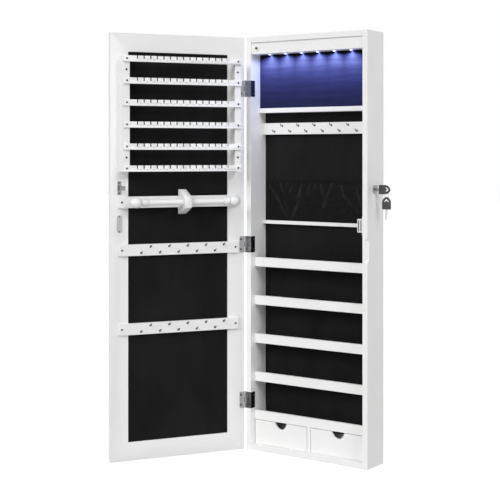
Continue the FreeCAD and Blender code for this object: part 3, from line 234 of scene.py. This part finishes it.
def soft_cloth():
    """Fine knitted cloth of the gathered pocket: a black lightened by a painted highlight along its fold
    crests.
    """
    finish = Finish("pocket_cloth", grey(0.007), 0.5)
    # Painted highlight: the base colour is lightened along the fold crests stored on the mesh, with a little
    # random tone on top.
    crest_highlight = finish.add("ShaderNodeAttribute", attribute_name="crest_highlight").outputs["Fac"]
    highlight_and_tone = finish.math("MULTIPLY", crest_highlight, 0.85)
    highlight_and_tone = finish.math("ADD", highlight_and_tone, finish.between(finish.noise(140.0, 5.0), 0, 0.15))
    finish.colour(finish.tint(highlight_and_tone, grey(0.0052), (0.036, 0.036, 0.038), 0.03, 1.0))
    finish.rough(finish.between(finish.noise(45.0, 3.0), 0.42, 0.58))
    weave = finish.add(
        "ShaderNodeTexWave",
        {"Vector": finish.place, "Scale": 900.0, "Distortion": 1.2},
        bands_direction="DIAGONAL",
    )
    finish.bump(weave.outputs["Fac"], 0.00008, 0.4)
    finish.bump(finish.noise(55.0, 4.0, finish.stretched(1.6, 1, 0.6)), 0.0006, 0.35)
    return finish.set(Sheen_Weight=0.06, Sheen_Roughness=0.3, Specular_IOR_Level=0.06)


# The painted blue light on the velvet behind the lamps, in metres: the level its cones start from, how far
# they are moved to the left, the last cone's middle, and the drop at which a cone has lost half its light.
PAINTED_GLOW_Z, PAINTED_GLOW_SHIFT, PAINTED_GLOW_END, PAINTED_GLOW_FALL = 1.0328, 0.008, 0.123, 0.034


def glow_painted_velvet():
    """The velvet behind the lamps, with painted light: under each lamp the cloth itself glows in a blue cone
    that fades downwards.
    """
    finish = velvet("glow_painted_velvet", 0.004)
    half_pitch = LED_PITCH * MM / 2
    split = finish.add("ShaderNodeSeparateXYZ", {"Vector": finish.place})
    across, height = split.outputs["X"], split.outputs["Z"]
    below = finish.math("MAXIMUM", finish.math("SUBTRACT", PAINTED_GLOW_Z, height), 0.0015)
    across = finish.math("ADD", across, PAINTED_GLOW_SHIFT)
    nearest = finish.math("PINGPONG", finish.math("ADD", across, half_pitch), half_pitch)
    past_end = finish.math("SUBTRACT", finish.math("ABSOLUTE", across), PAINTED_GLOW_END)
    off_axis = finish.math("MAXIMUM", nearest, past_end)
    spread = finish.math("POWER", finish.math("DIVIDE", off_axis, below), 2.0)
    cone = finish.math("EXPONENT", finish.math("MULTIPLY", spread, -1.1))
    wide = finish.math("EXPONENT", finish.math("MULTIPLY", spread, -0.16))
    cone = finish.math("ADD", finish.math("MULTIPLY", cone, 0.5), finish.math("MULTIPLY", wide, 0.55))
    drop = finish.math("POWER", finish.math("DIVIDE", below, PAINTED_GLOW_FALL), 2.0)
    fade = finish.math("DIVIDE", 1.07, finish.math("ADD", drop, 1.0))
    wrinkle = finish.noise(30.0, 3.0, finish.stretched(0.25, 1, 3.2))
    light = finish.math("MULTIPLY", finish.math("MULTIPLY", cone, fade), finish.between(wrinkle, 0.84, 1.16))
    finish.bump(wrinkle, 0.0012, 0.5)
    # Painted light: the blue cones are emitted by the cloth as a stand-in for the lamps' glow falling on it.
    core = finish.tint(light, (0.15, 0.185, 0.98), (0.3, 0.36, 1.0), 0.15, 0.85)
    finish.feed(finish.shader.inputs["Emission Color"], core)
    finish.feed(finish.shader.inputs["Emission Strength"], light)
    return finish


def mirror_glass():
    """Silvered glass, faintly green, with barely visible handling haze."""
    finish = Finish("mirror_glass", (0.88, 0.9, 0.895), 0.02, metallic=1.0)
    finish.colour(finish.tint(finish.noise(3.0, 2.0), (0.87, 0.89, 0.885), (0.9, 0.915, 0.91)))
    return finish.rough(finish.between(finish.noise(9.0, 5.0), 0.01, 0.05))


def metal(name, shade, low, high, brushed=(1, 1, 1)):
    finish = Finish(name, shade, (low + high) / 2, metallic=1.0)
    grain = finish.noise(420.0, 3.0, finish.stretched(*brushed))
    finish.colour(finish.tint(grain, tuple(c * 0.94 for c in shade), tuple(min(1, c * 1.04) for c in shade)))
    finish.rough(finish.between(finish.noise(90.0, 4.0), low, high))
    return finish.bump(grain, 0.00002, 0.35)


def plastic(name, low, high, rough_low, rough_high, grain=900.0):
    finish = Finish(name, high, (rough_low + rough_high) / 2)
    finish.colour(finish.tint(finish.noise(120.0, 4.0), low, high))
    finish.rough(finish.between(finish.noise(200.0, 3.0), rough_low, rough_high))
    return finish.bump(finish.noise(grain, 2.0), 0.00005, 0.5)


def lamp_lens():
    """Clear domed lens over a cold white light, which shows at the dome's tip alone."""
    finish = Finish("lamp_lens", (0.3, 0.33, 0.45), 0.18)
    height = finish.add("ShaderNodeSeparateXYZ", {"Vector": finish.place}).outputs["Z"]
    tip = finish.between(height, 1.0, 0.2, 1.0339, 1.0357)
    glow = finish.math("MULTIPLY", tip, 2.6)
    glow = finish.math("MULTIPLY", glow, finish.between(finish.noise(900.0), 0.9, 1.1))
    shade = finish.tint(tip, (0.42, 0.4, 0.95), (0.95, 0.95, 1.0), 0.2, 0.7)
    finish.feed(finish.shader.inputs["Emission Color"], shade)
    finish.feed(finish.shader.inputs["Emission Strength"], glow)
    return finish


FINISHES = {
    "white_paint": white_paint(),
    "hardboard": painted_hardboard(),
    "black_velvet": velvet(),
    "pouch_satin": soft_cloth(),
    "mirror_glass": mirror_glass(),
    "chrome": metal("chrome", (0.3, 0.3, 0.31), 0.1, 0.22),
    "steel": metal("steel", (0.4, 0.4, 0.415), 0.26, 0.42, (1, 1, 6)),
    "white_plastic": plastic("white_plastic", grey(0.74), grey(0.8), 0.38, 0.5),
    "grey_plastic": plastic("grey_plastic", (0.028, 0.029, 0.031), (0.042, 0.043, 0.046), 0.3, 0.45),
    "led_glow": lamp_lens(),
    "black_plastic": plastic("black_plastic", grey(0.02), grey(0.032), 0.4, 0.6),
}
GLOW_PAINTED_VELVET = glow_painted_velvet()
HOOK_METAL = metal("hook_metal", (0.13, 0.13, 0.135), 0.2, 0.34)
SCREW_STEEL = metal("screw_steel", (0.06, 0.06, 0.063), 0.3, 0.45)
# Nodes whose finish isn't their slot's.
NODE_FINISHES = {
    # The velvet under the lamps carries painted blue light.
    "light_panel": GLOW_PAINTED_VELVET,
    "switch_plunger": FINISHES["black_plastic"],
    "catch_plates": metal("pole_steel", (0.1, 0.1, 0.105), 0.35, 0.5),
    "spare_key_blade": metal("key_steel", (0.62, 0.62, 0.64), 0.22, 0.36),
}


# ---------------------------------------------------------------- mesh forms


# A pan head from its rim to its crown: radius and height, as shares of its radius.
SCREW_PROFILE = ((1, 0), (1, 0.22), (0.86, 0.4), (0.62, 0.5))


class Form:
    """A mesh put together from turned and bent forms, in the frame's coordinates."""

    def __init__(self):
        self.mesh = bmesh.new()

    def ring(self, place, radius, height, sides, turn=0.0):
        angles = [2 * math.pi * k / sides + turn for k in range(sides)]
        spots = [(radius * math.cos(a), radius * math.sin(a), height) for a in angles]
        return [self.mesh.verts.new(place @ (Vector(spot) * MM)) for spot in spots]

    def loft(self, first, second):
        for k, here in enumerate(first):
            after = (k + 1) % len(first)
            self.mesh.faces.new((here, first[after], second[after], second[k]))

    def turned(self, place, profile, sides=20, closed=(True, True)):
        """A turned form: profile is (radius, height) in millimetres along the place's +Z."""
        rings = [self.ring(place, radius, height, sides) for radius, height in profile]
        for first, second in zip(rings, rings[1:]):
            self.loft(first, second)
        if closed[0]:
            self.mesh.faces.new(rings[0][::-1])
        if closed[1]:
            self.mesh.faces.new(rings[-1])
        return rings

    def bent(self, place, path, radius, sides=12, closed=False):
        """A round wire along a smooth path in the place's YZ plane, in millimetres."""
        rings = []
        for k, (y, z) in enumerate(path):
            before = path[k - 1] if k or closed else path[0]
            after = path[(k + 1) % len(path)] if k + 1 < len(path) or closed else path[-1]
            along = Vector((0, after[0] - before[0], after[1] - before[1])).normalized()
            side = Vector((1, 0, 0))
            axes = Matrix((side, along.cross(side), along)).transposed()
            spot = Matrix.Translation(Vector((0, y, z)) * MM) @ axes.to_4x4()
            rings.append(self.ring(place @ spot, radius, 0, sides))
        for first, second in zip(rings, rings[1:]):
            self.loft(first, second)
        if closed:
            self.loft(rings[-1], rings[0])
        else:
            self.mesh.faces.new(rings[0][::-1])
            self.mesh.faces.new(rings[-1])

    def screw(self, place, radius):
        """A pan head with a real cross recess."""
        profile = [(radius * out, radius * up) for out, up in SCREW_PROFILE]
        rings = self.turned(place, profile, 16, (True, False))
        arm, wide, top, floor = (radius * share for share in (0.5, 0.15, 0.5, 0.18))
        outline = [(wide, arm), (wide, wide), (arm, wide), (arm, -wide), (wide, -wide), (wide, -arm)]
        outline += [(-x, -y) for x, y in outline]
        loops = [
            [self.mesh.verts.new(place @ (Vector((x, y, height)) * MM)) for x, y in outline]
            for height in (top, floor)
        ]
        self.loft(loops[0], loops[1])
        self.mesh.faces.new(loops[1])
        edges = [
            self.mesh.edges.get((loop[k - 1], vertex)) or self.mesh.edges.new((loop[k - 1], vertex))
            for loop in (rings[-1], loops[0])
            for k, vertex in enumerate(loop)
        ]
        bmesh.ops.triangle_fill(self.mesh, edges=edges, use_beauty=True)

    def piece(self, name, finish, body, slot, replaces=(), smooth=35):
        """The finished object, which rides on its body."""
        bmesh.ops.recalc_face_normals(self.mesh, faces=self.mesh.faces)
        mesh = bpy.data.meshes.new(name)
        self.mesh.to_mesh(mesh)
        self.mesh.free()
        return dress(mesh, name, finish, body, replaces, smooth)


def dress(mesh, name, finish, body, replaces=(), smooth=35):
    """The object of a finished mesh: its material, shading, body and the nodes it replaces."""
    mesh.materials.clear()
    mesh.materials.append(finish.material)
    mesh.shade_smooth()
    mesh.set_sharp_from_angle(angle=math.radians(smooth))
    obj = bpy.data.objects.new(name, mesh)
    bpy.context.scene.collection.objects.link(obj)
    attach(obj, body)
    if replaces:
        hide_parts(*replaces)
    return obj


# ---------------------------------------------------------------- carried nodes


# How far the edges of each slot's nodes are eased.
SOFT_EDGES = {
    "white_paint": 0.5 * MM,
    "white_plastic": 0.6 * MM,
    "grey_plastic": 0.35 * MM,
    "chrome": 0.2 * MM,
    "steel": 0.18 * MM,
    "black_plastic": 0.6 * MM,
}


def finish_nodes():
    """Gives each CAD node its slot's finish, and eases its edges as the real ones are."""
    for node in NODES.values():
        slot_name = node.material_slots[0].material.name.split(".")[0]
        finish = NODE_FINISHES.get(node.name, FINISHES[slot_name])
        for holder in node.material_slots:
            holder.material = finish.material
        if slot_name in SOFT_EDGES:
            ease_edges(node, SOFT_EDGES[slot_name])


def ease_edges(obj, width):
    weld = obj.modifiers.new("weld", "WELD")
    weld.merge_threshold = 0.00001
    flat = obj.modifiers.new("flat_faces", "DECIMATE")
    flat.decimate_type, flat.angle_limit = "DISSOLVE", math.radians(0.5)
    bevel = obj.modifiers.new("eased_edges", "BEVEL")
    bevel.width, bevel.segments, bevel.angle_limit = width, 2, math.radians(40)
    bevel.harden_normals = True


# ---------------------------------------------------------------- small hardware


# A hook's wire path and the outlines of its tip and foot, in millimetres.
HOOK_PATH = ((0, 0.4), (0, 3), (0, 5.6), (0.25, 6.9), (0.95, 8), (2, 8.55), (3.1, 8.75), (4.4, 8.8), (5, 8.8))
HOOK_TIP = ((0.9, -1.6), (1.3, -0.9), (1.45, 0), (1.3, 0.75), (0.85, 1.2), (0.3, 1.38))
HOOK_FOOT = ((2.8, 0), (2.8, 0.5), (2.4, 0.95), (1.5, 1.25), (1.15, 1.5))
HOOK_WIRE, STAGGER = 1.05, 7.5
DOOR_HOOKS, DOOR_HOOK_PITCH, DOOR_HOOK_SHIFT = 10, 25, 8.3
CASE_HOOKS, CASE_HOOK_PITCH, CASE_HOOK_SHIFT = 12, 25.2, 6.5
BOARD_INSET, POST_INSET = 8, 8.5
LEAF_SHIFT, STRIKE_SHIFT, PLATE_SHIFT, CATCH_SHIFT = 13, 13, 18.59, 19.8


def hook(form, place):
    """A bent wire hook: a domed foot, a wire that stands out and turns up, and a rounded tip."""
    form.turned(place, HOOK_FOOT, 16)
    form.bent(place, HOOK_PATH, HOOK_WIRE)
    tip = place @ Matrix.Translation(Vector((0, 3.6, 8.8)) * MM) @ Matrix.Rotation(-math.pi / 2, 4, "X")
    form.turned(tip, [(out, up + 0.6) for out, up in HOOK_TIP], 14)


def stepped(k):
    """The hooks of a row stand in turn below and above the middle of their board."""
    return STAGGER if k % 2 else -STAGGER


def build_hooks():
    """Ten hooks on each door board and twelve in the case."""
    form = Form()
    for board in ("upper_hook_board", "lower_hook_board"):
        low, high = door_box(board)
        middle, level = (low[0] + high[0]) / 2, (low[2] + high[2]) / 2
        for k in range(DOOR_HOOKS):
            u = middle - DOOR_HOOK_SHIFT - DOOR_HOOK_PITCH * (k - (DOOR_HOOKS - 1) / 2)
            hook(form, on_door(u, high[1], level + stepped(k)))
    form.piece("door_hooks_wire", HOOK_METAL, "door", "chrome", ["door_hooks"])
    form = Form()
    low, high = case_box("hook_board")
    level = (low[2] + high[2]) / 2
    for k in range(CASE_HOOKS):
        x = CASE_HOOK_SHIFT + CASE_HOOK_PITCH * (k - (CASE_HOOKS - 1) / 2)
        hook(form, in_case(x, low[1], level + stepped(k)))
    form.piece("necklace_hooks_wire", HOOK_METAL, "case", "chrome", ["necklace_hooks"])


def build_screws():
    """Pan head screws at every board, rail, leaf and plate."""
    door, case = Form(), Form()
    for node in ("bracelet_batten", "upper_hook_board", "lower_hook_board"):
        low, high = door_box(node)
        for u in (low[0] + BOARD_INSET, high[0] - BOARD_INSET):
            door.screw(on_door(u, high[1], (low[2] + high[2]) / 2), 2.6)
    rails, posts = door_box("earring_rails"), door_box("rack_posts")
    ends = (posts[0][0] + POST_INSET, posts[1][0] - POST_INSET)
    for k in range(RAILS):
        for u in ends:
            door.screw(on_door(u, rails[1][1] - 1.5, rails[1][2] - RAIL_PITCH * k - 7.4), 2.5)
    for level in POST_SCREW_LEVELS:
        for u in ends:
            door.screw(on_door(u, posts[1][1], level), 2.6)
    strike, plate = door_box("lock_strike"), door_box("magnet_plate")
    for way in (-1, 1):
        low, high = strike
        middle = (low[2] + high[2]) / 2
        door.screw(on_door(high[0] - 4.2, low[1] + 1.5, middle + STRIKE_SHIFT * way), 1.9)
        low, high = plate
        middle = (low[2] + high[2]) / 2
        door.screw(on_door((low[0] + high[0]) / 2, high[1], middle + PLATE_SHIFT * way), 1.7)
    leaves, flanges = door_box("hinge_door_leaves"), case_box("hinge_frame_leaves")
    for middle in HINGE_LEVELS:
        for shift in (-LEAF_SHIFT, LEAF_SHIFT):
            door.screw(on_door(leaves[1][0] - 3.6, leaves[1][1], middle + shift), 2)
            case.screw(in_case(flanges[1][0], -70, middle + shift, (1, 0, 0)), 2)
    low, high = case_box("magnetic_catch")
    for shift in (-CATCH_SHIFT, CATCH_SHIFT):
        place = in_case(high[0] - 1.5, (low[1] + high[1]) / 2, CATCH_LEVEL + shift, (-1, 0, 0))
        case.screw(place, 1.9)
    door.piece("door_screws", SCREW_STEEL, "door", "steel")
    case.piece("case_screws", SCREW_STEEL, "case", "steel")


def lamp_places(z, normal):
    """The places of the cabinet's own lamps at one level."""
    return [
        in_case(LED_PITCH * (k - (LED_COUNT - 1) / 2), LED_Y, z, normal) for k in range(LED_COUNT)
    ]


def build_lenses():
    """Six domed lenses, each with a flange, in the board over the lit compartment."""
    form = Form()
    dome = [(3.5 * math.cos(a), 0.8 + 2.35 * math.sin(a)) for a in (0, 0.4, 0.75, 1.1, 1.38)]
    profile = [(5, -0.2), (5, 0.5), (4.6, 0.8), (3.7, 0.85), *dome, (0.25, 3.18)]
    for place in lamp_places(LENS_Z, (0, 0, -1)):
        form.turned(place, profile, 24)
    form.piece("led_lenses_domed", FINISHES["led_glow"], "case", "led_glow", ["led_lenses"], 60)


# The rod's ball end, and the bead behind it as (radius, distance from the ball's middle).
BALL_RADIUS, BALL_LONG = 13.7, 15.7
ROD_BEAD = (
    (6.4, 12.2), (6.2, 13.9), (8.5, 14.3), (9.25, 15.2), (9.3, 29.2),
    (8.6, 30.2), (6.2, 30.5), (6.2, 31.9), (7.5, 32.2),
)
ROD_RADIUS, PLAIN_END = 7.5, 60


def build_rod():
    """The bracelet rod, turned from wood: long ball ends, a bead behind each, and a plain middle."""
    low, high = door_box("bracelet_rod")
    half = (high[0] - low[0]) / 2
    reach = half - BALL_LONG
    turns = [math.radians(degrees) for degrees in range(-84, 50, 12)]
    side = [(BALL_RADIUS * math.cos(turn), -reach + BALL_LONG * math.sin(turn)) for turn in turns]
    side += [(out, -reach + along) for out, along in ROD_BEAD] + [(ROD_RADIUS, -PLAIN_END)]
    profile = side + [(out, -along) for out, along in side[::-1]]
    place = on_door(low[0] + half, (low[1] + high[1]) / 2, (low[2] + high[2]) / 2, (1, 0, 0))
    form = Form()
    form.turned(place, profile, 40)
    form.piece("bracelet_rod_turned", FINISHES["white_paint"], "door", "white_paint", ["bracelet_rod"], 38)


def build_bracket():
    """The rod's bracket, its front drawn in to a blunt nose and all its edges rounded."""
    low, high = door_box("bracelet_bracket")
    middle = (low[2] + high[2]) / 2
    back = DOOR.inverted()
    blank = bpy.data.objects.new("bracket_blank", NODES["bracelet_bracket"].data.copy())
    for vertex in blank.data.vertices:
        u, v, z = back @ vertex.co
        if v / MM > high[1] - 0.5 and abs(z / MM - middle) > 6:
            vertex.co = DOOR @ Vector((u, v, (middle + (z / MM - middle) * 0.5) * MM))
    bpy.context.scene.collection.objects.link(blank)
    ease_edges(blank, 2.4 * MM)
    made = bpy.data.meshes.new_from_object(blank.evaluated_get(bpy.context.evaluated_depsgraph_get()))
    bpy.data.objects.remove(blank)
    paint = FINISHES["white_paint"]
    dress(made, "bracelet_bracket_rounded", paint, "door", ["bracelet_bracket"])


RING_RADIUS, RING_WIRE, RING_SIDES = 9, 0.6, 64


def build_key_ring():
    """The ring of round wire that joins the keys."""
    low, high = case_box("key_ring")
    place = in_case((low[0] + high[0]) / 2, (low[1] + high[1]) / 2, high[2] - 9.62, (0, -1, 0))
    turns = [2 * math.pi * k / RING_SIDES for k in range(RING_SIDES)]
    path = [(RING_RADIUS * math.sin(turn), RING_RADIUS * math.cos(turn)) for turn in turns]
    form = Form()
    form.bent(place, path, RING_WIRE, 10, closed=True)
    form.piece("key_ring_wire", FINISHES["chrome"], "spare_key", "chrome", ["key_ring"])


def drilled_rails():
    """The notched rails with the small earring holes between their notches."""
    low, high = door_box("earring_rails")
    cutter = Form()
    for rail in range(RAILS):
        for k in range(HOLES):
            u = (low[0] + high[0]) / 2 + HOLE_PITCH * (k - (HOLES - 1) / 2)
            spot = on_door(u, low[1] - 1, high[2] - RAIL_PITCH * rail - 10)
            cutter.turned(spot, ((HOLE_RADIUS, 0), (HOLE_RADIUS, 8)), 10)
    bmesh.ops.recalc_face_normals(cutter.mesh, faces=cutter.mesh.faces)
    holes = bpy.data.meshes.new("hole_cutter")
    cutter.mesh.to_mesh(holes)
    cutter.mesh.free()
    tool = bpy.data.objects.new("hole_cutter", holes)
    blank = bpy.data.objects.new("rail_blank", NODES["earring_rails"].data.copy())
    for obj in (tool, blank):
        bpy.context.scene.collection.objects.link(obj)
    weld = blank.modifiers.new("weld", "WELD")
    weld.merge_threshold = 0.00001
    drill = blank.modifiers.new("drill", "BOOLEAN")
    drill.object, drill.solver = tool, "EXACT"
    ease_edges(blank, 0.3 * MM)
    made = bpy.data.meshes.new_from_object(blank.evaluated_get(bpy.context.evaluated_depsgraph_get()))
    for obj in (tool, blank):
        bpy.data.objects.remove(obj)
    dress(made, "earring_rails_drilled", FINISHES["white_paint"], "door", ["earring_rails"])


# ---------------------------------------------------------------- gathered pocket


# Each fold: where it starts at the hem or below and where it ends (share across, share up), its
# width as a share of the pocket, and its height in millimetres.
FOLDS = (
    (0.02, 0.92, 0.105, 0.55, 0.011, 1.5), (0.105, 0.55, 0.19, 0.1, 0.013, 1.9),
    (0.132, 1.0, 0.165, 0.6, 0.009, 1.2), (0.165, 0.6, 0.197, 0.22, 0.009, 1.0),
    (0.207, 1.0, 0.193, 0.9, 0.007, 0.8), (0.262, 1.0, 0.234, 0.74, 0.01, 1.0),
    (0.35, 1.02, 0.319, 0.68, 0.011, 2.1), (0.319, 0.68, 0.3, 0.4, 0.022, 2.0),
    (0.3, 0.4, 0.24, 0.05, 0.02, 2.0), (0.424, 1.0, 0.402, 0.66, 0.012, 1.2),
    (0.481, 1.0, 0.461, 0.8, 0.01, 0.9), (0.527, 0.98, 0.547, 0.68, 0.011, 1.1),
    (0.637, 0.97, 0.586, 0.63, 0.011, 2.0), (0.586, 0.63, 0.553, 0.4, 0.03, 1.3),
    (0.719, 0.94, 0.74, 0.68, 0.011, 1.6), (0.74, 0.68, 0.875, 0.26, 0.02, 1.1),
    (0.858, 0.85, 0.91, 0.42, 0.011, 1.4), (0.965, 0.94, 0.948, 0.45, 0.009, 1.2),
)
COLUMNS, ROWS = 220, 46


def pocket_fold(s, t):
    """How far the cloth stands out, and how strong the painted highlight on its fold crest is, at s across
    and t up (0 to 1).
    """
    total, crest_highlight = 0.0, 0.0
    for s0, t0, s1, t1, width, height in FOLDS:
        run, rise = s1 - s0, (t1 - t0) / 3
        along = ((s - s0) * run + (t - t0) / 3 * rise) / (run * run + rise * rise)
        held = max(0.0, min(1.0, along))
        off = math.hypot(s - s0 - run * held, (t - t0) / 3 - rise * held)
        total = max(total, height * math.exp(-((off / width) ** 2)))
        crest_highlight = max(crest_highlight, min(1.0, height / 2.2) * math.exp(-((off / width) ** 2) * 3.5))
    soft = noise.noise(Vector((s * 6.5, t * 1.6, 3.1))) + 0.5 * noise.noise(Vector((s * 15, t * 3.5, 7.7)))
    fine = noise.noise(Vector((s * 60, t * 9, 1.3))) * max(0.0, t - 0.6)
    # The painted crest highlight is stronger towards the top and varies at random.
    highlight_strength = (0.3 + 0.7 * t) * (0.75 + 0.9 * noise.noise(Vector((s * 21, t * 5, 4.4))))
    return total + 0.9 * soft + 1.1 * fine, crest_highlight * max(0.0, min(1.0, highlight_strength))


def build_hem(places):
    """The rolled hem, a soft uneven cord of cloth along the pocket's upper edge."""
    hem = Form()
    rings = []
    for k, spot in enumerate(places):
        before, after = places[max(0, k - 1)], places[min(COLUMNS, k + 1)]
        along = (after - before).normalized()
        side = along.cross(UP).normalized()
        axes = Matrix((side, along.cross(side), along)).transposed().to_4x4()
        plump = 1.15 + 0.25 * math.sin(k * 0.9) + 0.2 * noise.noise(Vector((k * 0.21, 0.4, 2)))
        rings.append(hem.ring(Matrix.Translation(spot) @ axes, plump, 0, 8))
    for first, second in zip(rings, rings[1:]):
        hem.loft(first, second)
    hem.mesh.faces.new(rings[0][::-1])
    hem.mesh.faces.new(rings[-1])
    return hem.piece("necklace_pocket_hem", FINISHES["pouch_satin"], "case", "pouch_satin", (), 80)


def build_pocket():
    """The necklace pocket: sewn along its lower edge and ends, gathered on elastic at its hem."""
    low, high = case_box("necklace_pouch")
    form = bmesh.new()
    grid, crest_highlights = [], []
    for j in range(ROWS + 1):
        t = j / ROWS
        line = []
        for i in range(COLUMNS + 1):
            s = i / COLUMNS
            edge = min(1, 9 * s, 9 * (1 - s)) ** 0.5 if 0 < s < 1 else 0
            swell = 5.2 * math.sin(math.pi * min(0.6, t * 0.6)) ** 0.9
            stands, crest_highlight = pocket_fold(s, t)
            crest_highlights.append(crest_highlight)
            out = 1.0 + edge * (0.4 + swell + min(1.0, 0.3 + swell * 0.3) * stands)
            out = max(0.9, min(9.2, out))
            dip = 1.6 * noise.noise(Vector((s * 19, 5.2, 0))) * t
            x = low[0] + (high[0] - low[0]) * s
            z = low[2] + 0.6 + (high[2] - low[2] - 2.6) * t + dip
            line.append(form.verts.new(Vector((x, high[1] - out, z)) * MM))
        grid.append(line)
    for j in range(ROWS):
        for i in range(COLUMNS):
            form.faces.new((grid[j][i], grid[j][i + 1], grid[j + 1][i + 1], grid[j + 1][i]))
    bmesh.ops.recalc_face_normals(form, faces=form.faces)
    mesh = bpy.data.meshes.new("necklace_pocket")
    form.to_mesh(mesh)
    form.free()
    cloth = FINISHES["pouch_satin"]
    pocket = dress(mesh, "necklace_pocket", cloth, "case", ["necklace_pouch"], 80)
    # The painted highlight of the fold crests, kept on the mesh for the cloth's colour.
    mesh.attributes.new("crest_highlight", "FLOAT", "POINT").data.foreach_set("value", crest_highlights)
    thick = pocket.modifiers.new("cloth", "SOLIDIFY")
    thick.thickness, thick.offset = 0.8 * MM, 0
    welt = build_hem([vertex.co.copy() for vertex in mesh.vertices[-(COLUMNS + 1):]])


# ---------------------------------------------------------------- stage, lamps, camera


FLOOR_Z, FLOOR_REACH, FLOOR_LIFT = -1.2, 40, 0.55
AMBIENT, FRONT, RIGHT, RIM = 0.18, 1.92, 1.08, 0.35
LED_POWER, LED_COLOUR = 0.13, (0.45, 0.55, 1.0)


def build_stage():
    """A pale floor well below the hung cabinet. The camera and mirrors see it near white, with shadow."""
    finish = Finish("pale_floor", (0.8, 0.8, 0.8), 0.9)
    path = finish.add("ShaderNodeLightPath")
    seen = finish.math("MAXIMUM", path.outputs["Is Camera Ray"], path.outputs["Is Glossy Ray"])
    seen = finish.math("MAXIMUM", seen, path.outputs["Is Transmission Ray"])
    finish.rough(finish.between(finish.noise(6.0), 0.85, 0.95))
    finish.set(Emission_Color=(1, 1, 1, 1), Specular_IOR_Level=0.0)
    finish.feed(finish.shader.inputs["Emission Strength"], finish.math("MULTIPLY", seen, FLOOR_LIFT))
    mesh = bpy.data.meshes.new("floor")
    corners = [(FLOOR_REACH * x, FLOOR_REACH * y, FLOOR_Z) for x, y in ((-1, -1), (1, -1), (1, 1), (-1, 1))]
    mesh.from_pydata(corners, [], [(0, 1, 2, 3)])
    mesh.materials.append(finish.material)
    floor = bpy.data.objects.new("floor", mesh)
    bpy.context.scene.collection.objects.link(floor)


def build_world():
    """Plain pale light all round, and full white where the camera, a mirror or glass looks at it."""
    world = bpy.data.worlds.new("studio")
    bpy.context.scene.world = world
    world.use_nodes = True
    nodes, links = world.node_tree.nodes, world.node_tree.links
    back = nodes["Background"]
    path = nodes.new("ShaderNodeLightPath")
    seen = path.outputs["Is Camera Ray"]
    for name in ("Is Glossy Ray", "Is Transmission Ray"):
        either = nodes.new("ShaderNodeMath")
        either.operation = "MAXIMUM"
        links.new(seen, either.inputs[0])
        links.new(path.outputs[name], either.inputs[1])
        seen = either.outputs[0]
    level = nodes.new("ShaderNodeMapRange")
    links.new(seen, level.inputs["Value"])
    level.inputs["To Min"].default_value, level.inputs["To Max"].default_value = AMBIENT, 1.0
    links.new(level.outputs[0], back.inputs["Strength"])
    back.inputs["Color"].default_value = (1, 1, 1, 1)


def lamp(name, kind, place, energy, colour=(1, 1, 1), **settings):
    data = bpy.data.lights.new(name, kind)
    data.energy, data.color = energy, colour
    for key, value in settings.items():
        setattr(data, key, value)
    obj = bpy.data.objects.new(name, data)
    obj.matrix_world = place
    bpy.context.scene.collection.objects.link(obj)
    return obj


def build_lamps():
    """Soft lamps from the front, the right and behind, and the cabinet's own six cold ones."""
    lamp("front", "SUN", facing((0, -2, 2), (-0.05, -0.85, 0.52)), FRONT, angle=math.radians(30))
    lamp("right", "SUN", facing((2, -1, 1), (0.83, -0.3, 0.47)), RIGHT, angle=math.radians(24))
    lamp("rim", "SUN", facing((1, 2, 1), (0.5, 0.83, 0.25)), RIM, angle=math.radians(24))
    for k, place in enumerate(lamp_places(LAMP_Z, (0, 0, 1)), 1):
        own = lamp(f"cabinet_light_{k}", "SPOT", place, LED_POWER, LED_COLOUR, spot_size=math.radians(178))
        own.data.spot_blend, own.data.shadow_soft_size = 0.6, 0.003
        own.parent = frame["bodies"]["case"]


# The photograph's viewpoint: where the camera stands, and the way from the object back to it.
CAMERA_SPOT, CAMERA_BACK = (1.662, -2.641, 0.779), (0.582, -0.813, 0)
CAMERA_LENS, CAMERA_SENSOR, CAMERA_SHIFT = 86.5, 36, -0.1954


def build_camera():
    data = bpy.data.cameras.new("camera")
    data.lens, data.sensor_width = CAMERA_LENS, CAMERA_SENSOR
    data.shift_y = CAMERA_SHIFT
    data.clip_end = 100
    camera = bpy.data.objects.new("camera", data)
    camera.matrix_world = facing(CAMERA_SPOT, CAMERA_BACK)
    bpy.context.scene.collection.objects.link(camera)
    bpy.context.scene.camera = camera
    bpy.context.scene.view_settings.view_transform = "Standard"


build_camera()
finish_nodes()
build_hooks()
build_screws()
build_lenses()
build_rod()
build_bracket()
build_key_ring()
drilled_rails()
build_pocket()
build_stage()
build_world()
build_lamps()
